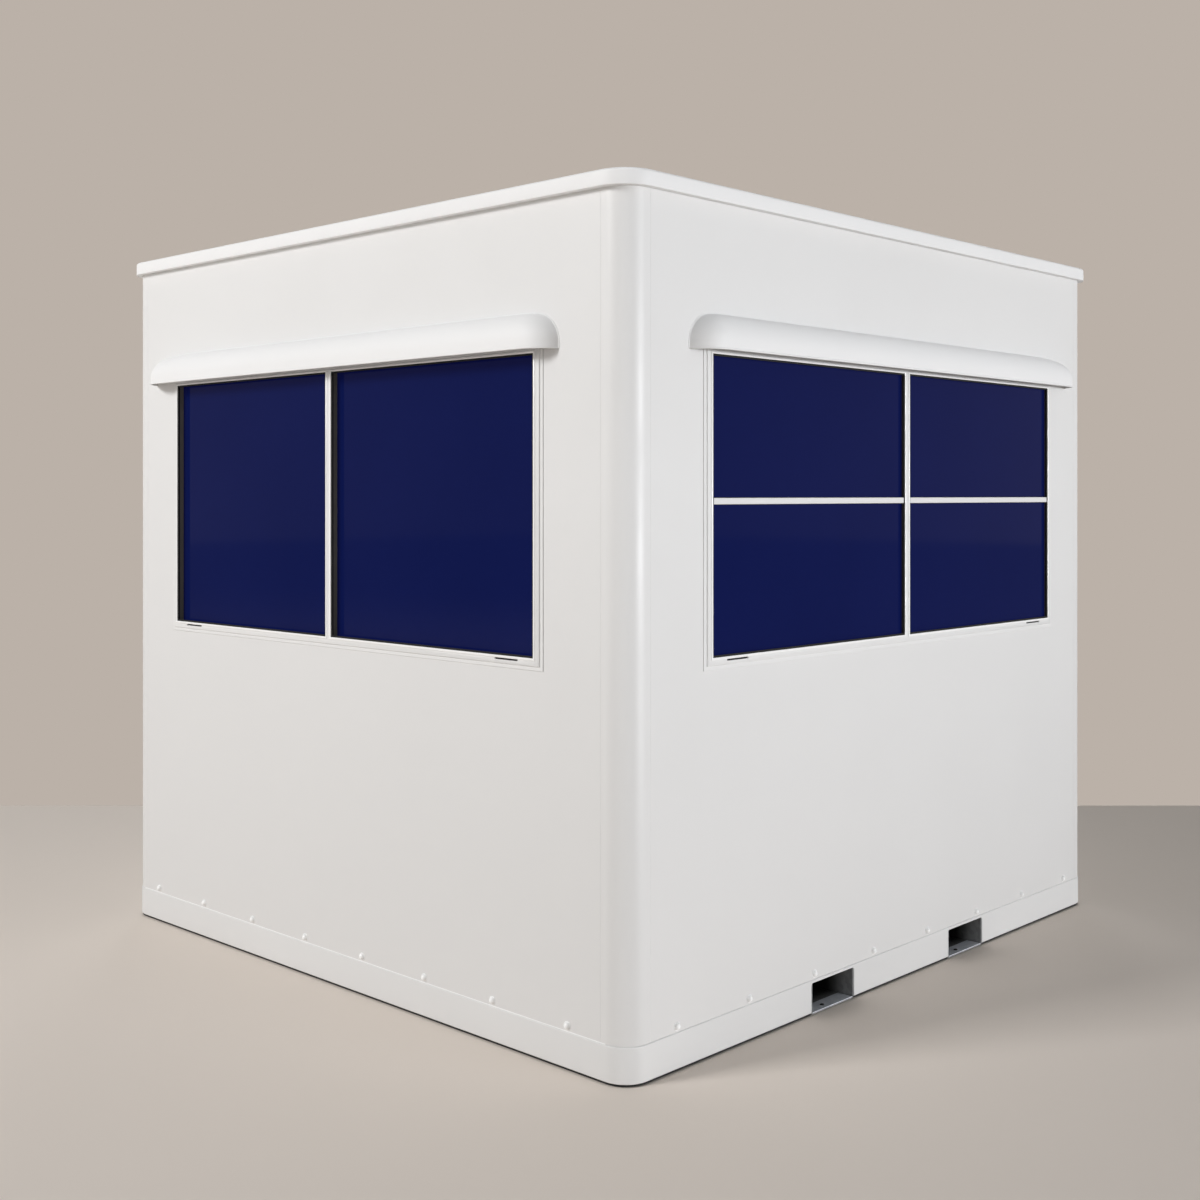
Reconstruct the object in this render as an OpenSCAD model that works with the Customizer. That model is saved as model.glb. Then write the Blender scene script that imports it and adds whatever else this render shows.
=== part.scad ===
// Portable office pod: a square steel-framed cabin with rounded corner posts, fixed
// windows under bowed hoods, a roof cap with a deep rim and a base with fork pockets.
// The origin is the middle of the pod on the ground. Front is -Y, right is +X.

/* [Body] */
// Width across the front, over the wall faces
body_w = 2480; // [1900:10:3600]
// Depth from front to rear, over the wall faces
body_d = 2570; // [1900:10:3600]
// Height from the ground to the top of the roof cap
body_h = 2400; // [2320:10:3200]
// Outer radius of the corner posts
corner_r = 76; // [40:1:90]
// Width of a corner post on each of its two faces
corner_leg = 92; // [90:1:140]
// Thickness of the wall panels
wall_t = 50; // [40:1:70]

/* [Base] */
// Height of the skirt channel
skirt_h = 103; // [80:1:140]
// How far the skirt stands out from the wall faces
skirt_proud = 2.5; // [0:0.5:10]
// Thickness of the skirt's web and flanges
skirt_t = 4; // [3:0.5:8]
// How far the skirt's inward flanges reach past the inner faces of the walls
skirt_flange = 10; // [6:1:40]
// Width of a fork pocket's cut-out in the skirt
pocket_w = 222; // [160:1:260]
// Distance between the middles of the two fork pockets
pocket_pitch = 772; // [500:1:1100]
// Wall thickness of the fork tubes
fork_tube_t = 4; // [3:0.5:8]
// Height of the floor joists
joist_h = 60; // [40:1:70]
// Width of the floor joists
joist_w = 50; // [40:1:80]
// Thickness of the floor boards
deck_t = 21; // [15:1:40]

/* [Roof] */
// Height of the roof cap's rim
cap_h = 45; // [36:1:90]
// Overhang of the roof cap beyond the wall faces
cap_over = 22; // [8:1:60]
// Outer radius of the roof cap's corners
cap_r = 98; // [60:1:140]
// Thickness of the roof cap's top skin
cap_skin = 4; // [2:0.5:8]
// Thickness of the roof panel under the cap
roof_t = 30; // [20:1:40]
// Thickness of the ceiling board
ceiling_t = 20; // [10:1:40]

/* [Windows] */
// Distance from the front right corner to the nearest glass, on the front and sides
window_near = 343; // [240:1:600]
// Distance from the glass to the far corner, on the front and sides
window_far = 305; // [240:1:600]
// Height of the glass's lower edge above the ground
sill_z = 1097; // [700:1:1300]
// Height of the glass's upper edge above the ground
head_z = 1936; // [1700:1:2050]
// Width of a window frame's main face
frame_face = 22; // [20:1:60]
// Width of the thin flange round a window frame
frame_flange = 12; // [8:1:30]
// How far a frame's main face stands out from the wall
frame_proud = 6; // [4:1:20]
// How far a frame's thin flange stands out from the wall
flange_proud = 2.5; // [2:0.5:8]
// Depth of the glass behind the front frame's main face
glass_recess = 24; // [16:1:36]
// Depth of the glass behind the side frames' main face
side_glass_recess = 11; // [8:1:36]
// Thickness of the sealed glass units
glass_t = 20; // [6:1:24]
// Depth of the groove that holds the glass
glass_groove = 10; // [6:1:18]
// Width of the upright bar between panes
mullion_w = 27; // [26:1:80]
// Shift of the upright bar from the middle of the glass, away from the near corner
mullion_shift = 20; // [-60:1:60]

/* [Hoods] */
// Projection of a hood from the wall
hood_out = 65; // [40:1:120]
// Height of a hood
hood_h = 105; // [90:1:160]
// Height of the curved part of a hood, above its upright face
hood_round = 80; // [40:1:85]
// Height of a hood's lip above the glass
hood_lift = 6; // [0:1:20]
// How far behind the wall's face the rounded ends of a hood have their centre
hood_setback = 35; // [10:1:60]
// Length of a hood beyond the glass at the end by the near corner
hood_over = 95; // [60:1:130]
// Length of a hood beyond the glass at its other end
hood_over_far = 150; // [60:1:150]
// Thickness of the hood's shell
hood_t = 3; // [2:0.5:6]
// Height of the flange that fixes a hood to the wall
hood_fixing = 30; // [20:1:50]

/* [Door] */
// Width of the doorway cut through the rear wall
door_open_w = 940; // [800:5:1100]
// Height of the doorway cut above the skirt
door_open_h = 2030; // [1950:5:2100]
// Width of the door frame's jambs and head
door_jamb = 40; // [30:1:60]
// Thickness of the door leaf
leaf_t = 44; // [36:1:60]
// Clearance round the door leaf
leaf_gap = 4; // [2:0.5:8]
// Height of the threshold
threshold_h = 26; // [22:1:60]
// Width of the glass in the door
door_glass_w = 480; // [300:5:560]
// Diameter of the hinge knuckles
hinge_d = 16; // [12:1:24]
// Height of each hinge knuckle
hinge_h = 100; // [60:1:140]
// Width of each hinge's two plates
hinge_plate_w = 34; // [20:1:50]
// Thickness of the hinge plate on the face of the leaf
hinge_plate_t = 3; // [2:0.5:5]
// Clearance between the hinge plate on the jamb and the edge of the leaf
hinge_play = 1; // [0.5:0.5:1.5]
// Height of the door handle above the ground
handle_z = 1040; // [900:5:1150]
// Length of the door handle's lever
handle_l = 125; // [90:1:160]

/* [Fits] */
// Joint between neighbouring wall panels and posts
panel_gap = 1.5; // [0.5:0.5:4]
// Clearance where one piece fits inside another
fit_gap = 2; // [1:0.5:4]

/* [Hidden] */
$fn = 96;
eps = 1;

// Colours
paint_white = [0.90, 0.90, 0.89];
skirt_white = [0.87, 0.87, 0.86];
cap_white = [0.93, 0.93, 0.93];
galvanised = [0.52, 0.53, 0.54];
floor_grey = [0.45, 0.45, 0.44];
pane_navy = [0.09, 0.11, 0.29];
steel_satin = [0.62, 0.62, 0.63];

// Levels
roof_top = body_h - cap_skin;
wall_top = roof_top - roof_t;
wall_h = wall_top - skirt_h;
floor_top = skirt_h + deck_t;
cap_bottom = body_h - cap_h;

// Half sizes of the body over its wall faces, and of the room inside
half_w = body_w / 2;
half_d = body_d / 2;
room_w = body_w - 2 * wall_t;
room_d = body_d - 2 * wall_t;

// Glass on the front wall, along +X
front_x0 = -half_w + window_far;
front_x1 = half_w - window_near;
front_mullion_x = (front_x0 + front_x1) / 2 - mullion_shift;

// Glass on the side walls, along +Y
side_y0 = -half_d + window_near;
side_y1 = half_d - window_far;
side_mullion_y = (side_y0 + side_y1) / 2 + mullion_shift;

// Fork pockets share the side window's centre line
pocket_mid = (side_y0 + side_y1) / 2;
pocket_front_y = pocket_mid - pocket_pitch / 2;
pocket_rear_y = pocket_mid + pocket_pitch / 2;
pocket_h = skirt_h - skirt_t;
fork_tube_w = pocket_w - 2 * fit_gap;

// Depths into the wall, from its outer face
flange_depth = wall_t + skirt_flange;
glass_depth = glass_recess - frame_proud;
side_glass_depth = side_glass_recess - frame_proud;
frame_depth = wall_t + flange_proud;

// Doorway
door_top = skirt_h + door_open_h;
leaf_w = door_open_w - 2 * (door_jamb + leaf_gap);
leaf_z0 = skirt_h + threshold_h + leaf_gap;
leaf_z1 = door_top - door_jamb - leaf_gap;
leaf_y = flange_proud;
door_trim = frame_flange + glass_groove;

// Places something drawn against a wall: local X runs along the wall, local Y goes
// into it from its outer face, and Z is up.
module on_front() {
    translate([0, -half_d, 0])
        children();
}

module on_right() {
    translate([half_w, 0, 0])
        rotate([0, 0, 90])
            children();
}

module on_rear() {
    translate([0, half_d, 0])
        rotate([0, 0, 180])
            children();
}

// A box given by two corners
module box(low, high) {
    translate(low)
        cube(high - low);
}

// A slab with rounded upright corners, centred on the Z axis and standing on z = 0
module rounded_slab(w, d, r, h) {
    linear_extrude(h)
        union() {
            square([w - 2 * r, d], center = true);
            square([w, d - 2 * r], center = true);
            for (sx = [-1, 1])
                for (sy = [-1, 1])
                    translate([sx * (w / 2 - r), sy * (d / 2 - r)])
                        circle(r);
        }
}

// ---- Base ----

// Section of the skirt channel: outer web with two inward flanges, in Y and Z
module skirt_section() {
    difference() {
        translate([-skirt_proud, 0])
            square([flange_depth + skirt_proud, skirt_h]);
        translate([skirt_t - skirt_proud, skirt_t])
            square([flange_depth + eps, skirt_h - 2 * skirt_t]);
    }
}

// One straight side of the skirt, drawn against a wall of the given length
module skirt_side(side_len) {
    run = side_len - 2 * corner_leg;
    translate([-run / 2, 0, 0])
        rotate([90, 0, 90])
            linear_extrude(run)
                skirt_section();
}

// A side of the skirt with the two cut-outs for the fork tubes
module pocketed_skirt() {
    difference() {
        skirt_side(body_d);
        for (y = [pocket_front_y, pocket_rear_y])
            box([y - pocket_w / 2, -skirt_proud - eps, -eps],
                [y + pocket_w / 2, flange_depth + eps, pocket_h]);
    }
}

module skirt_front() {
    color(skirt_white)
        on_front()
            skirt_side(body_w);
}

module skirt_rear() {
    color(skirt_white)
        on_rear()
            skirt_side(body_w);
}

module skirt_right() {
    color(skirt_white)
        on_right()
            pocketed_skirt();
}

module skirt_left() {
    color(skirt_white)
        mirror([1, 0, 0])
            on_right()
                pocketed_skirt();
}

// Plan of a square corner whose outer corner, at the given point, is rounded
module corner_plan(low, high, r) {
    difference() {
        translate([low, low])
            square(high - low);
        difference() {
            translate([high - r, high - r])
                square(r + eps);
            translate([high - r, high - r])
                circle(r);
        }
    }
}

// The bent channel that carries the skirt round one corner, with plates that close
// its top and foot and seat the corner post
module skirt_corner() {
    low = -corner_leg + panel_gap;
    difference() {
        linear_extrude(skirt_h)
            corner_plan(low, skirt_proud, corner_r + skirt_proud);
        translate([0, 0, skirt_t])
            linear_extrude(skirt_h - 2 * skirt_t)
                corner_plan(low - eps, skirt_proud - skirt_t, corner_r + skirt_proud - skirt_t);
    }
}

module skirt_corners() {
    color(skirt_white)
        for (sx = [-1, 1])
            for (sy = [-1, 1])
                scale([sx, sy, 1])
                    translate([half_w, half_d, 0])
                        skirt_corner();
}

// A rectangular steel tube that runs right across the base
module fork_tube(y) {
    tube_len = body_w + 2 * (skirt_proud - 1);
    color(galvanised)
        translate([-tube_len / 2, y, 0])
            difference() {
                box([0, -fork_tube_w / 2, 0], [tube_len, fork_tube_w / 2, pocket_h]);
                box([-eps, -fork_tube_w / 2 + fork_tube_t, fork_tube_t],
                    [tube_len + eps, fork_tube_w / 2 - fork_tube_t, pocket_h - fork_tube_t]);
            }
}

module fork_tube_front() {
    fork_tube(pocket_front_y);
}

module fork_tube_rear() {
    fork_tube(pocket_rear_y);
}

// Steel joists across the base: two in each bay before, between and behind the fork
// tubes, with their ends notched under the skirt's top flanges
module floor_joists() {
    web_x = half_w + skirt_proud - skirt_t;
    flange_x = half_w - flange_depth;
    flange_z = skirt_h - skirt_t;
    bays = [
        [-half_d + flange_depth, pocket_front_y - fork_tube_w / 2],
        [pocket_front_y + fork_tube_w / 2, pocket_rear_y - fork_tube_w / 2],
        [pocket_rear_y + fork_tube_w / 2, half_d - flange_depth]
    ];
    color(galvanised)
        for (bay = bays)
            for (share = [1 / 3, 2 / 3])
                let (y = bay[0] + (bay[1] - bay[0]) * share)
                    union() {
                        box([-web_x, y - joist_w / 2, skirt_h - joist_h],
                            [web_x, y + joist_w / 2, flange_z]);
                        box([-flange_x, y - joist_w / 2, skirt_h - joist_h],
                            [flange_x, y + joist_w / 2, skirt_h]);
                    }
}

module floor_deck() {
    color(floor_grey)
        box([-room_w / 2 + fit_gap, -room_d / 2 + fit_gap, skirt_h],
            [room_w / 2 - fit_gap, room_d / 2 - fit_gap, floor_top]);
}

// ---- Walls ----

// One corner post: an L of wall thickness with a rounded outer corner, at +X +Y
module corner_post() {
    color(paint_white)
        translate([half_w, half_d, skirt_h])
            difference() {
                box([-corner_leg, -corner_leg, 0], [0, 0, wall_h]);
                difference() {
                    box([-corner_r, -corner_r, -eps], [eps, eps, wall_h + eps]);
                    translate([-corner_r, -corner_r, -2 * eps])
                        cylinder(r = corner_r, h = wall_h + 4 * eps);
                }
                box([-corner_leg - eps, -corner_leg - eps, -eps],
                    [-wall_t, -wall_t, wall_h + eps]);
            }
}

module corner_post_rear_right() {
    corner_post();
}

module corner_post_rear_left() {
    mirror([1, 0, 0])
        corner_post();
}

module corner_post_front_right() {
    mirror([0, 1, 0])
        corner_post();
}

module corner_post_front_left() {
    rotate([0, 0, 180])
        corner_post();
}

// A wall panel between two corner posts, with a window opening from x0 to x1
module window_wall(side_len, x0, x1) {
    half_run = side_len / 2 - corner_leg - panel_gap;
    cut = frame_face + fit_gap;
    color(paint_white)
        difference() {
            box([-half_run, 0, skirt_h], [half_run, wall_t, wall_top]);
            box([x0 - cut, -eps, sill_z - cut], [x1 + cut, wall_t + eps, head_z + cut]);
        }
}

module front_wall() {
    on_front()
        window_wall(body_w, front_x0, front_x1);
}

module right_wall() {
    on_right()
        window_wall(body_d, side_y0, side_y1);
}

module left_wall() {
    mirror([1, 0, 0])
        right_wall();
}

// A piece of the rear wall beside the doorway, on the given side of the middle
module rear_wall_side(side) {
    inner = door_open_w / 2;
    outer = half_w - corner_leg - panel_gap;
    color(paint_white)
        mirror([side < 0 ? 1 : 0, 0, 0])
            box([inner, half_d - wall_t, skirt_h], [outer, half_d, wall_top]);
}

module rear_wall_left() {
    rear_wall_side(-1);
}

module rear_wall_right() {
    rear_wall_side(1);
}

module rear_wall_over_door() {
    half_run = door_open_w / 2 - panel_gap;
    color(paint_white)
        box([-half_run, half_d - wall_t, door_top], [half_run, half_d, wall_top]);
}

// ---- Roof ----

module ceiling() {
    color(paint_white)
        box([-room_w / 2 + fit_gap, -room_d / 2 + fit_gap, wall_top - ceiling_t],
            [room_w / 2 - fit_gap, room_d / 2 - fit_gap, wall_top]);
}

module roof_panel() {
    color(paint_white)
        translate([0, 0, wall_top])
            rounded_slab(body_w, body_d, corner_r, roof_t);
}

module roof_cap() {
    color(cap_white)
        difference() {
            translate([0, 0, cap_bottom])
                rounded_slab(body_w + 2 * cap_over, body_d + 2 * cap_over, cap_r, cap_h);
            translate([0, 0, cap_bottom - eps])
                rounded_slab(body_w + fit_gap, body_d + fit_gap, corner_r + fit_gap / 2,
                    cap_h - cap_skin + eps);
        }
}

// ---- Windows ----

// A window frame in a wall: main face, thin flange, reveal with glass grooves, and
// one upright bar. x0 and x1 are the ends of the glass that shows, and y is the depth
// of its outer face.
module window_frame(x0, x1, bar_x, y) {
    bar0 = bar_x - mullion_w / 2;
    bar1 = bar_x + mullion_w / 2;
    rim = frame_face + frame_flange;
    groove = glass_groove;
    color(cap_white)
        difference() {
            union() {
                box([x0 - frame_face, -frame_proud, sill_z - frame_face],
                    [x1 + frame_face, frame_depth, head_z + frame_face]);
                box([x0 - rim, -flange_proud, sill_z - rim], [x1 + rim, 0, head_z + rim]);
                box([x0 - rim, wall_t, sill_z - rim], [x1 + rim, frame_depth, head_z + rim]);
            }
            for (pane = [[x0, bar0], [bar1, x1]]) {
                box([pane[0], -frame_proud - eps, sill_z],
                    [pane[1], frame_depth + eps, head_z]);
                box([pane[0] - groove, y, sill_z - groove],
                    [pane[1] + groove, y + glass_t, head_z + groove]);
            }
        }
}

// The sealed glass units of one window, one on each side of the upright bar
module window_glass(x0, x1, bar_x, y) {
    edge = glass_groove - fit_gap;
    color(pane_navy)
        for (pane = [[x0, bar_x - mullion_w / 2], [bar_x + mullion_w / 2, x1]])
            box([pane[0] - edge, y, sill_z - edge],
                [pane[1] + edge, y + glass_t, head_z + edge]);
}

module front_window_frame() {
    on_front()
        window_frame(front_x0, front_x1, front_mullion_x, glass_depth);
}

module front_window_glass() {
    on_front()
        window_glass(front_x0, front_x1, front_mullion_x, glass_depth);
}

module right_window_frame() {
    on_right()
        window_frame(side_y0, side_y1, side_mullion_y, side_glass_depth);
}

module right_window_glass() {
    on_right()
        window_glass(side_y0, side_y1, side_mullion_y, side_glass_depth);
}

module left_window_frame() {
    mirror([1, 0, 0])
        right_window_frame();
}

module left_window_glass() {
    mirror([1, 0, 0])
        right_window_glass();
}

// ---- Hoods ----

// Length along the wall of a hood's rounded end, from where it leaves the straight run
hood_end_run = sqrt(pow(hood_out + hood_setback, 2) - pow(hood_setback, 2));
hood_steps = 16;

// Points of a hood's outside or inside, from the lip up its upright face and round a
// quarter of an ellipse to the wall. inset is the distance in from the outer surface.
function hood_profile(inset) =
    let (base = hood_h - hood_round, out = hood_out - inset, up = hood_round - inset)
    concat([[out, 0]],
        [for (i = [0 : hood_steps])
            [out * cos(90 * i / hood_steps), base + up * sin(90 * i / hood_steps)]]);

// Section of the hood's shell: distance from the wall, then height above the lip
module hood_section() {
    inner = hood_profile(hood_t);
    polygon(concat(hood_profile(0), [for (i = [len(inner) - 1 : -1 : 0]) inner[i]]));
}

// One rounded end of a hood, toward +X, cut off at the wall's face
module hood_end() {
    reach = hood_out + hood_setback;
    difference() {
        translate([0, hood_setback, 0])
            rotate([0, 0, -90])
                rotate_extrude(angle = 90)
                    translate([hood_setback, 0])
                        hood_section();
        box([-eps, 0, -eps], [reach + eps, reach + eps, hood_h + eps]);
    }
}

// A hood drawn against a wall, from x0 to x1, with its lip at the given height
module hood(x0, x1, lip_z) {
    run = x1 - x0 - 2 * hood_end_run;
    color(cap_white)
        translate([0, 0, lip_z])
            union() {
                translate([x1 - hood_end_run, 0, 0])
                    rotate([90, 0, -90])
                        linear_extrude(run)
                            hood_section();
                translate([x1 - hood_end_run, 0, 0])
                    hood_end();
                translate([x0 + hood_end_run, 0, 0])
                    mirror([1, 0, 0])
                        hood_end();
                box([x0 + hood_end_run, -hood_t, hood_h - hood_fixing],
                    [x1 - hood_end_run, 0, hood_h - hood_t / 2]);
            }
}

module front_window_hood() {
    on_front()
        hood(front_x0 - hood_over_far, front_x1 + hood_over, head_z + hood_lift);
}

module right_window_hood() {
    on_right()
        hood(side_y0 - hood_over, side_y1 + hood_over_far, head_z + hood_lift);
}

module left_window_hood() {
    mirror([1, 0, 0])
        right_window_hood();
}

module rear_door_hood() {
    half_run = door_open_w / 2 + frame_flange + hood_end_run;
    on_rear()
        hood(-half_run, half_run, door_top + frame_flange);
}

// ---- Door ----

// Jambs and head of the door frame, with a thin flange on both wall faces
module door_frame() {
    half_open = door_open_w / 2 - panel_gap;
    half_clear = door_open_w / 2 - door_jamb;
    half_rim = door_open_w / 2 + frame_flange;
    clear_top = door_top - door_jamb;
    color(cap_white)
        on_rear()
            difference() {
                union() {
                    box([-half_open, -frame_proud, skirt_h],
                        [half_open, wall_t, door_top - panel_gap]);
                    box([-half_rim, -flange_proud, skirt_h],
                        [half_rim, 0, door_top + frame_flange - fit_gap]);
                    box([-half_rim, wall_t, floor_top + fit_gap],
                        [half_rim, frame_depth, door_top + frame_flange - fit_gap]);
                }
                box([-half_clear, -frame_proud - eps, skirt_h - eps],
                    [half_clear, frame_depth + eps, clear_top]);
            }
}

module door_threshold() {
    half_clear = door_open_w / 2 - door_jamb - fit_gap / 2;
    color(steel_satin)
        on_rear()
            box([-half_clear, -frame_proud, skirt_h],
                [half_clear, wall_t, skirt_h + threshold_h]);
}

module door_leaf() {
    half_glass = door_glass_w / 2;
    color(paint_white)
        on_rear()
            difference() {
                box([-leaf_w / 2, leaf_y, leaf_z0], [leaf_w / 2, leaf_y + leaf_t, leaf_z1]);
                box([-half_glass - glass_groove, leaf_y - eps, sill_z - glass_groove],
                    [half_glass + glass_groove, leaf_y + leaf_t + eps, head_z + glass_groove]);
            }
}

module door_glass() {
    half_glass = door_glass_w / 2 + glass_groove - fit_gap;
    edge = glass_groove - fit_gap;
    mid = leaf_y + leaf_t / 2;
    color(pane_navy)
        on_rear()
            box([-half_glass, mid - glass_t / 2, sill_z - edge],
                [half_glass, mid + glass_t / 2, head_z + edge]);
}

// Beads that hold the door's glass: a ring on each face of the leaf
module door_glass_trim() {
    half_glass = door_glass_w / 2;
    mid = leaf_y + leaf_t / 2;
    color(cap_white)
        on_rear()
            for (faces = [[leaf_y - flange_proud, mid - glass_t / 2],
                          [mid + glass_t / 2, leaf_y + leaf_t + flange_proud]])
                difference() {
                    union() {
                        box([-half_glass - glass_groove, faces[0], sill_z - glass_groove],
                            [half_glass + glass_groove, faces[1], head_z + glass_groove]);
                        let (outside = faces[0] < leaf_y)
                            box([-half_glass - door_trim,
                                 outside ? faces[0] : leaf_y + leaf_t, sill_z - door_trim],
                                [half_glass + door_trim,
                                 outside ? leaf_y : faces[1], head_z + door_trim]);
                    }
                    box([-half_glass, faces[0] - eps, sill_z],
                        [half_glass, faces[1] + eps, head_z]);
                }
}

// Lever handle on a back plate, on the outer face of the leaf
module door_handle() {
    plate_x = leaf_w / 2 - 55;
    plate_w = 40;
    plate_h = 180;
    plate_t = 6;
    lever_r = 9;
    reach = 42;
    color(steel_satin)
        on_rear()
            union() {
                box([plate_x - plate_w / 2, leaf_y - plate_t, handle_z - plate_h / 2],
                    [plate_x + plate_w / 2, leaf_y, handle_z + plate_h / 2]);
                translate([plate_x, leaf_y - plate_t + eps, handle_z])
                    rotate([90, 0, 0])
                        cylinder(r = lever_r, h = reach);
                translate([plate_x, leaf_y - plate_t - reach + lever_r, handle_z])
                    rotate([0, -90, 0])
                        cylinder(r = lever_r, h = handle_l);
            }
}

// Hinges on the outer face, at the other edge of the leaf: a knuckle, one plate on the
// leaf's face and one against the jamb
module door_hinges() {
    jamb_x = -leaf_w / 2 - leaf_gap;
    hinge_x = jamb_x + panel_gap + hinge_d / 2;
    span = leaf_z1 - leaf_z0;
    color(steel_satin)
        on_rear()
            for (share = [0.12, 0.5, 0.88])
                translate([hinge_x, leaf_y, leaf_z0 + span * share - hinge_h / 2])
                    union() {
                        translate([0, -hinge_d / 2, 0])
                            cylinder(d = hinge_d, h = hinge_h);
                        box([0, -hinge_plate_t, 0], [hinge_plate_w, 0, hinge_h]);
                        box([jamb_x - hinge_x, -hinge_d / 2, 0],
                            [jamb_x - hinge_x + leaf_gap - hinge_play, hinge_plate_w, hinge_h]);
                    }
}

skirt_front();
skirt_rear();
skirt_right();
skirt_left();
skirt_corners();
fork_tube_front();
fork_tube_rear();
floor_joists();
floor_deck();
corner_post_front_right();
corner_post_front_left();
corner_post_rear_right();
corner_post_rear_left();
front_wall();
right_wall();
left_wall();
rear_wall_left();
rear_wall_right();
rear_wall_over_door();
ceiling();
roof_panel();
roof_cap();
front_window_frame();
front_window_glass();
front_window_hood();
right_window_frame();
right_window_glass();
right_window_hood();
left_window_frame();
left_window_glass();
left_window_hood();
door_frame();
door_threshold();
door_leaf();
door_glass();
door_glass_trim();
door_handle();
door_hinges();
rear_door_hood();
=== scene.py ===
# %% [markdown]
# # A portable office pod
#
# The pod is a white steel-framed cabin: rounded corner posts, flat panels, wide windows
# with navy glass under bowed hoods, a moulded roof cap and a steel base that a forklift
# can lift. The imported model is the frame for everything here. It gives the true place
# of every part, and each piece made below takes its size from it.
#
# Most parts are built again with the small things that make a surface believable:
# rounded edges, thin joints and a finish of their own.

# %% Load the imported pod
import math

import bmesh
import bpy
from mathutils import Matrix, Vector


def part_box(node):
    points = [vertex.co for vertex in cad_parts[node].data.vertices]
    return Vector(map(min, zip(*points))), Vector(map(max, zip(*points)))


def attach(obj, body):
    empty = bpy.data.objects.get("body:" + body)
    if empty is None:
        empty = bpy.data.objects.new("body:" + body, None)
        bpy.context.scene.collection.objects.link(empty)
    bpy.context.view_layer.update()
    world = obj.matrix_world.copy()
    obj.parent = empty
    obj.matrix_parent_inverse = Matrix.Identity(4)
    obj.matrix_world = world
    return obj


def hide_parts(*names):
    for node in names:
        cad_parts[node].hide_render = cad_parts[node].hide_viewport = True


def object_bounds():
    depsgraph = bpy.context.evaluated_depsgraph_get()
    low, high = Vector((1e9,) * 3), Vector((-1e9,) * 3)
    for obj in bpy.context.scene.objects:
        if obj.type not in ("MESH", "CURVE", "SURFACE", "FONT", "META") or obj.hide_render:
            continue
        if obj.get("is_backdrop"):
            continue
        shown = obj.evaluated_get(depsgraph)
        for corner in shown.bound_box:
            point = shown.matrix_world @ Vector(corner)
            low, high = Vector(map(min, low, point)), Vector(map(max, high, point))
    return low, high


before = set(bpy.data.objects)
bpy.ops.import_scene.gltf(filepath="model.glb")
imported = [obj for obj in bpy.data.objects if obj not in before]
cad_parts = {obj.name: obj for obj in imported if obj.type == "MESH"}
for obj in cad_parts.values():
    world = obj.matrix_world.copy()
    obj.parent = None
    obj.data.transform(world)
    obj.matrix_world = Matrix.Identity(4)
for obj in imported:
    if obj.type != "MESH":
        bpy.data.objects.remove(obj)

cad_low, cad_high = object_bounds()
print("CAD box:", [round(side, 3) for side in cad_high - cad_low], "m")

# %% [markdown]
# ## Where things are
#
# All later steps speak of four walls. A wall is described by a small function that takes
# a distance along the wall, a depth into it from its outer face, and a height. The left
# wall mirrors the right one, and the rear is the front turned round. Negative depths
# stand out from the wall.

# %% Name the wall faces and levels
MM = 0.001
left_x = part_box("left_wall")[0].x
right_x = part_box("right_wall")[1].x
front_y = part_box("front_wall")[0].y
rear_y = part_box("rear_wall_left")[1].y
skirt_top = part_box("skirt_front")[1].z
wall_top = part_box("front_wall")[1].z
roof_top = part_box("roof_cap")[1].z
panel_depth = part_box("front_wall")[1].y - front_y


def on_front(along, depth, height):
    return Vector((along, front_y + depth, height))


def on_rear(along, depth, height):
    return Vector((-along, rear_y - depth, height))


def on_right(along, depth, height):
    return Vector((right_x - depth, along, height))


def on_left(along, depth, height):
    return Vector((left_x + depth, along, height))


print(f"walls {right_x - left_x:.3f} by {rear_y - front_y:.3f} m, top of skirt {skirt_top:.3f} m")

# %% [markdown]
# ## The camera
#
# A person stands off the near corner and holds the camera level at eye height, so the
# upright edges of the pod stay upright. A level camera would put the pod low in the
# picture. As a view camera does, the lens is shifted down a little instead of tilting.

# %% Set up the camera
eye_height = 1.546
off_right_wall = 2.6895
off_front_wall = 2.9175
camera_turn = math.radians(43.67)
camera_data = bpy.data.cameras.new("camera")
camera_data.lens = 45.93
camera_data.sensor_width = 36
camera_data.shift_y = -0.0875
camera_data.clip_end = 200
camera = bpy.data.objects.new("camera", camera_data)
camera.location = (right_x + off_right_wall, front_y - off_front_wall, eye_height)
camera.rotation_euler = (math.radians(90), 0, camera_turn)
scene = bpy.context.scene
scene.collection.objects.link(camera)
scene.camera = camera
scene.view_settings.view_transform = "Standard"
print("camera", [round(value, 3) for value in camera.location])

# %% [markdown]
# ## The studio
#
# The pod stands on a pale floor in front of a plain warm grey wall. The wall is only
# there for the camera to see: it casts and bounces nothing, and it is clear from behind,
# so a view from the back of the pod isn't blocked. The world gives a soft light from all
# round, weaker from straight above than from the sides. Rays that look straight at the
# world, or are mirrored or passed on to it by metal or glass, see the wall's colour
# instead.
#
# The world and every material is a tree of nodes. Small helpers do the wiring from here
# on: one adds a node, and another sets its inputs or joins them to other nodes.

# %% Write colours as display values
def srgb(red, green, blue):
    """A linear colour, with alpha, from display values between 0 and 255."""
    def linear(value):
        share = value / 255
        return share / 12.92 if share <= 0.04045 else ((share + 0.055) / 1.055) ** 2.4
    return (linear(red), linear(green), linear(blue), 1)


WALL_COLOUR = srgb(187, 177, 168)
FLOOR_COLOUR = srgb(232, 222, 212)
AMBIENT_COLOUR = (0.97, 0.985, 1.0, 1)
ambient_low = 0.62
ambient_high = 0.08

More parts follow.
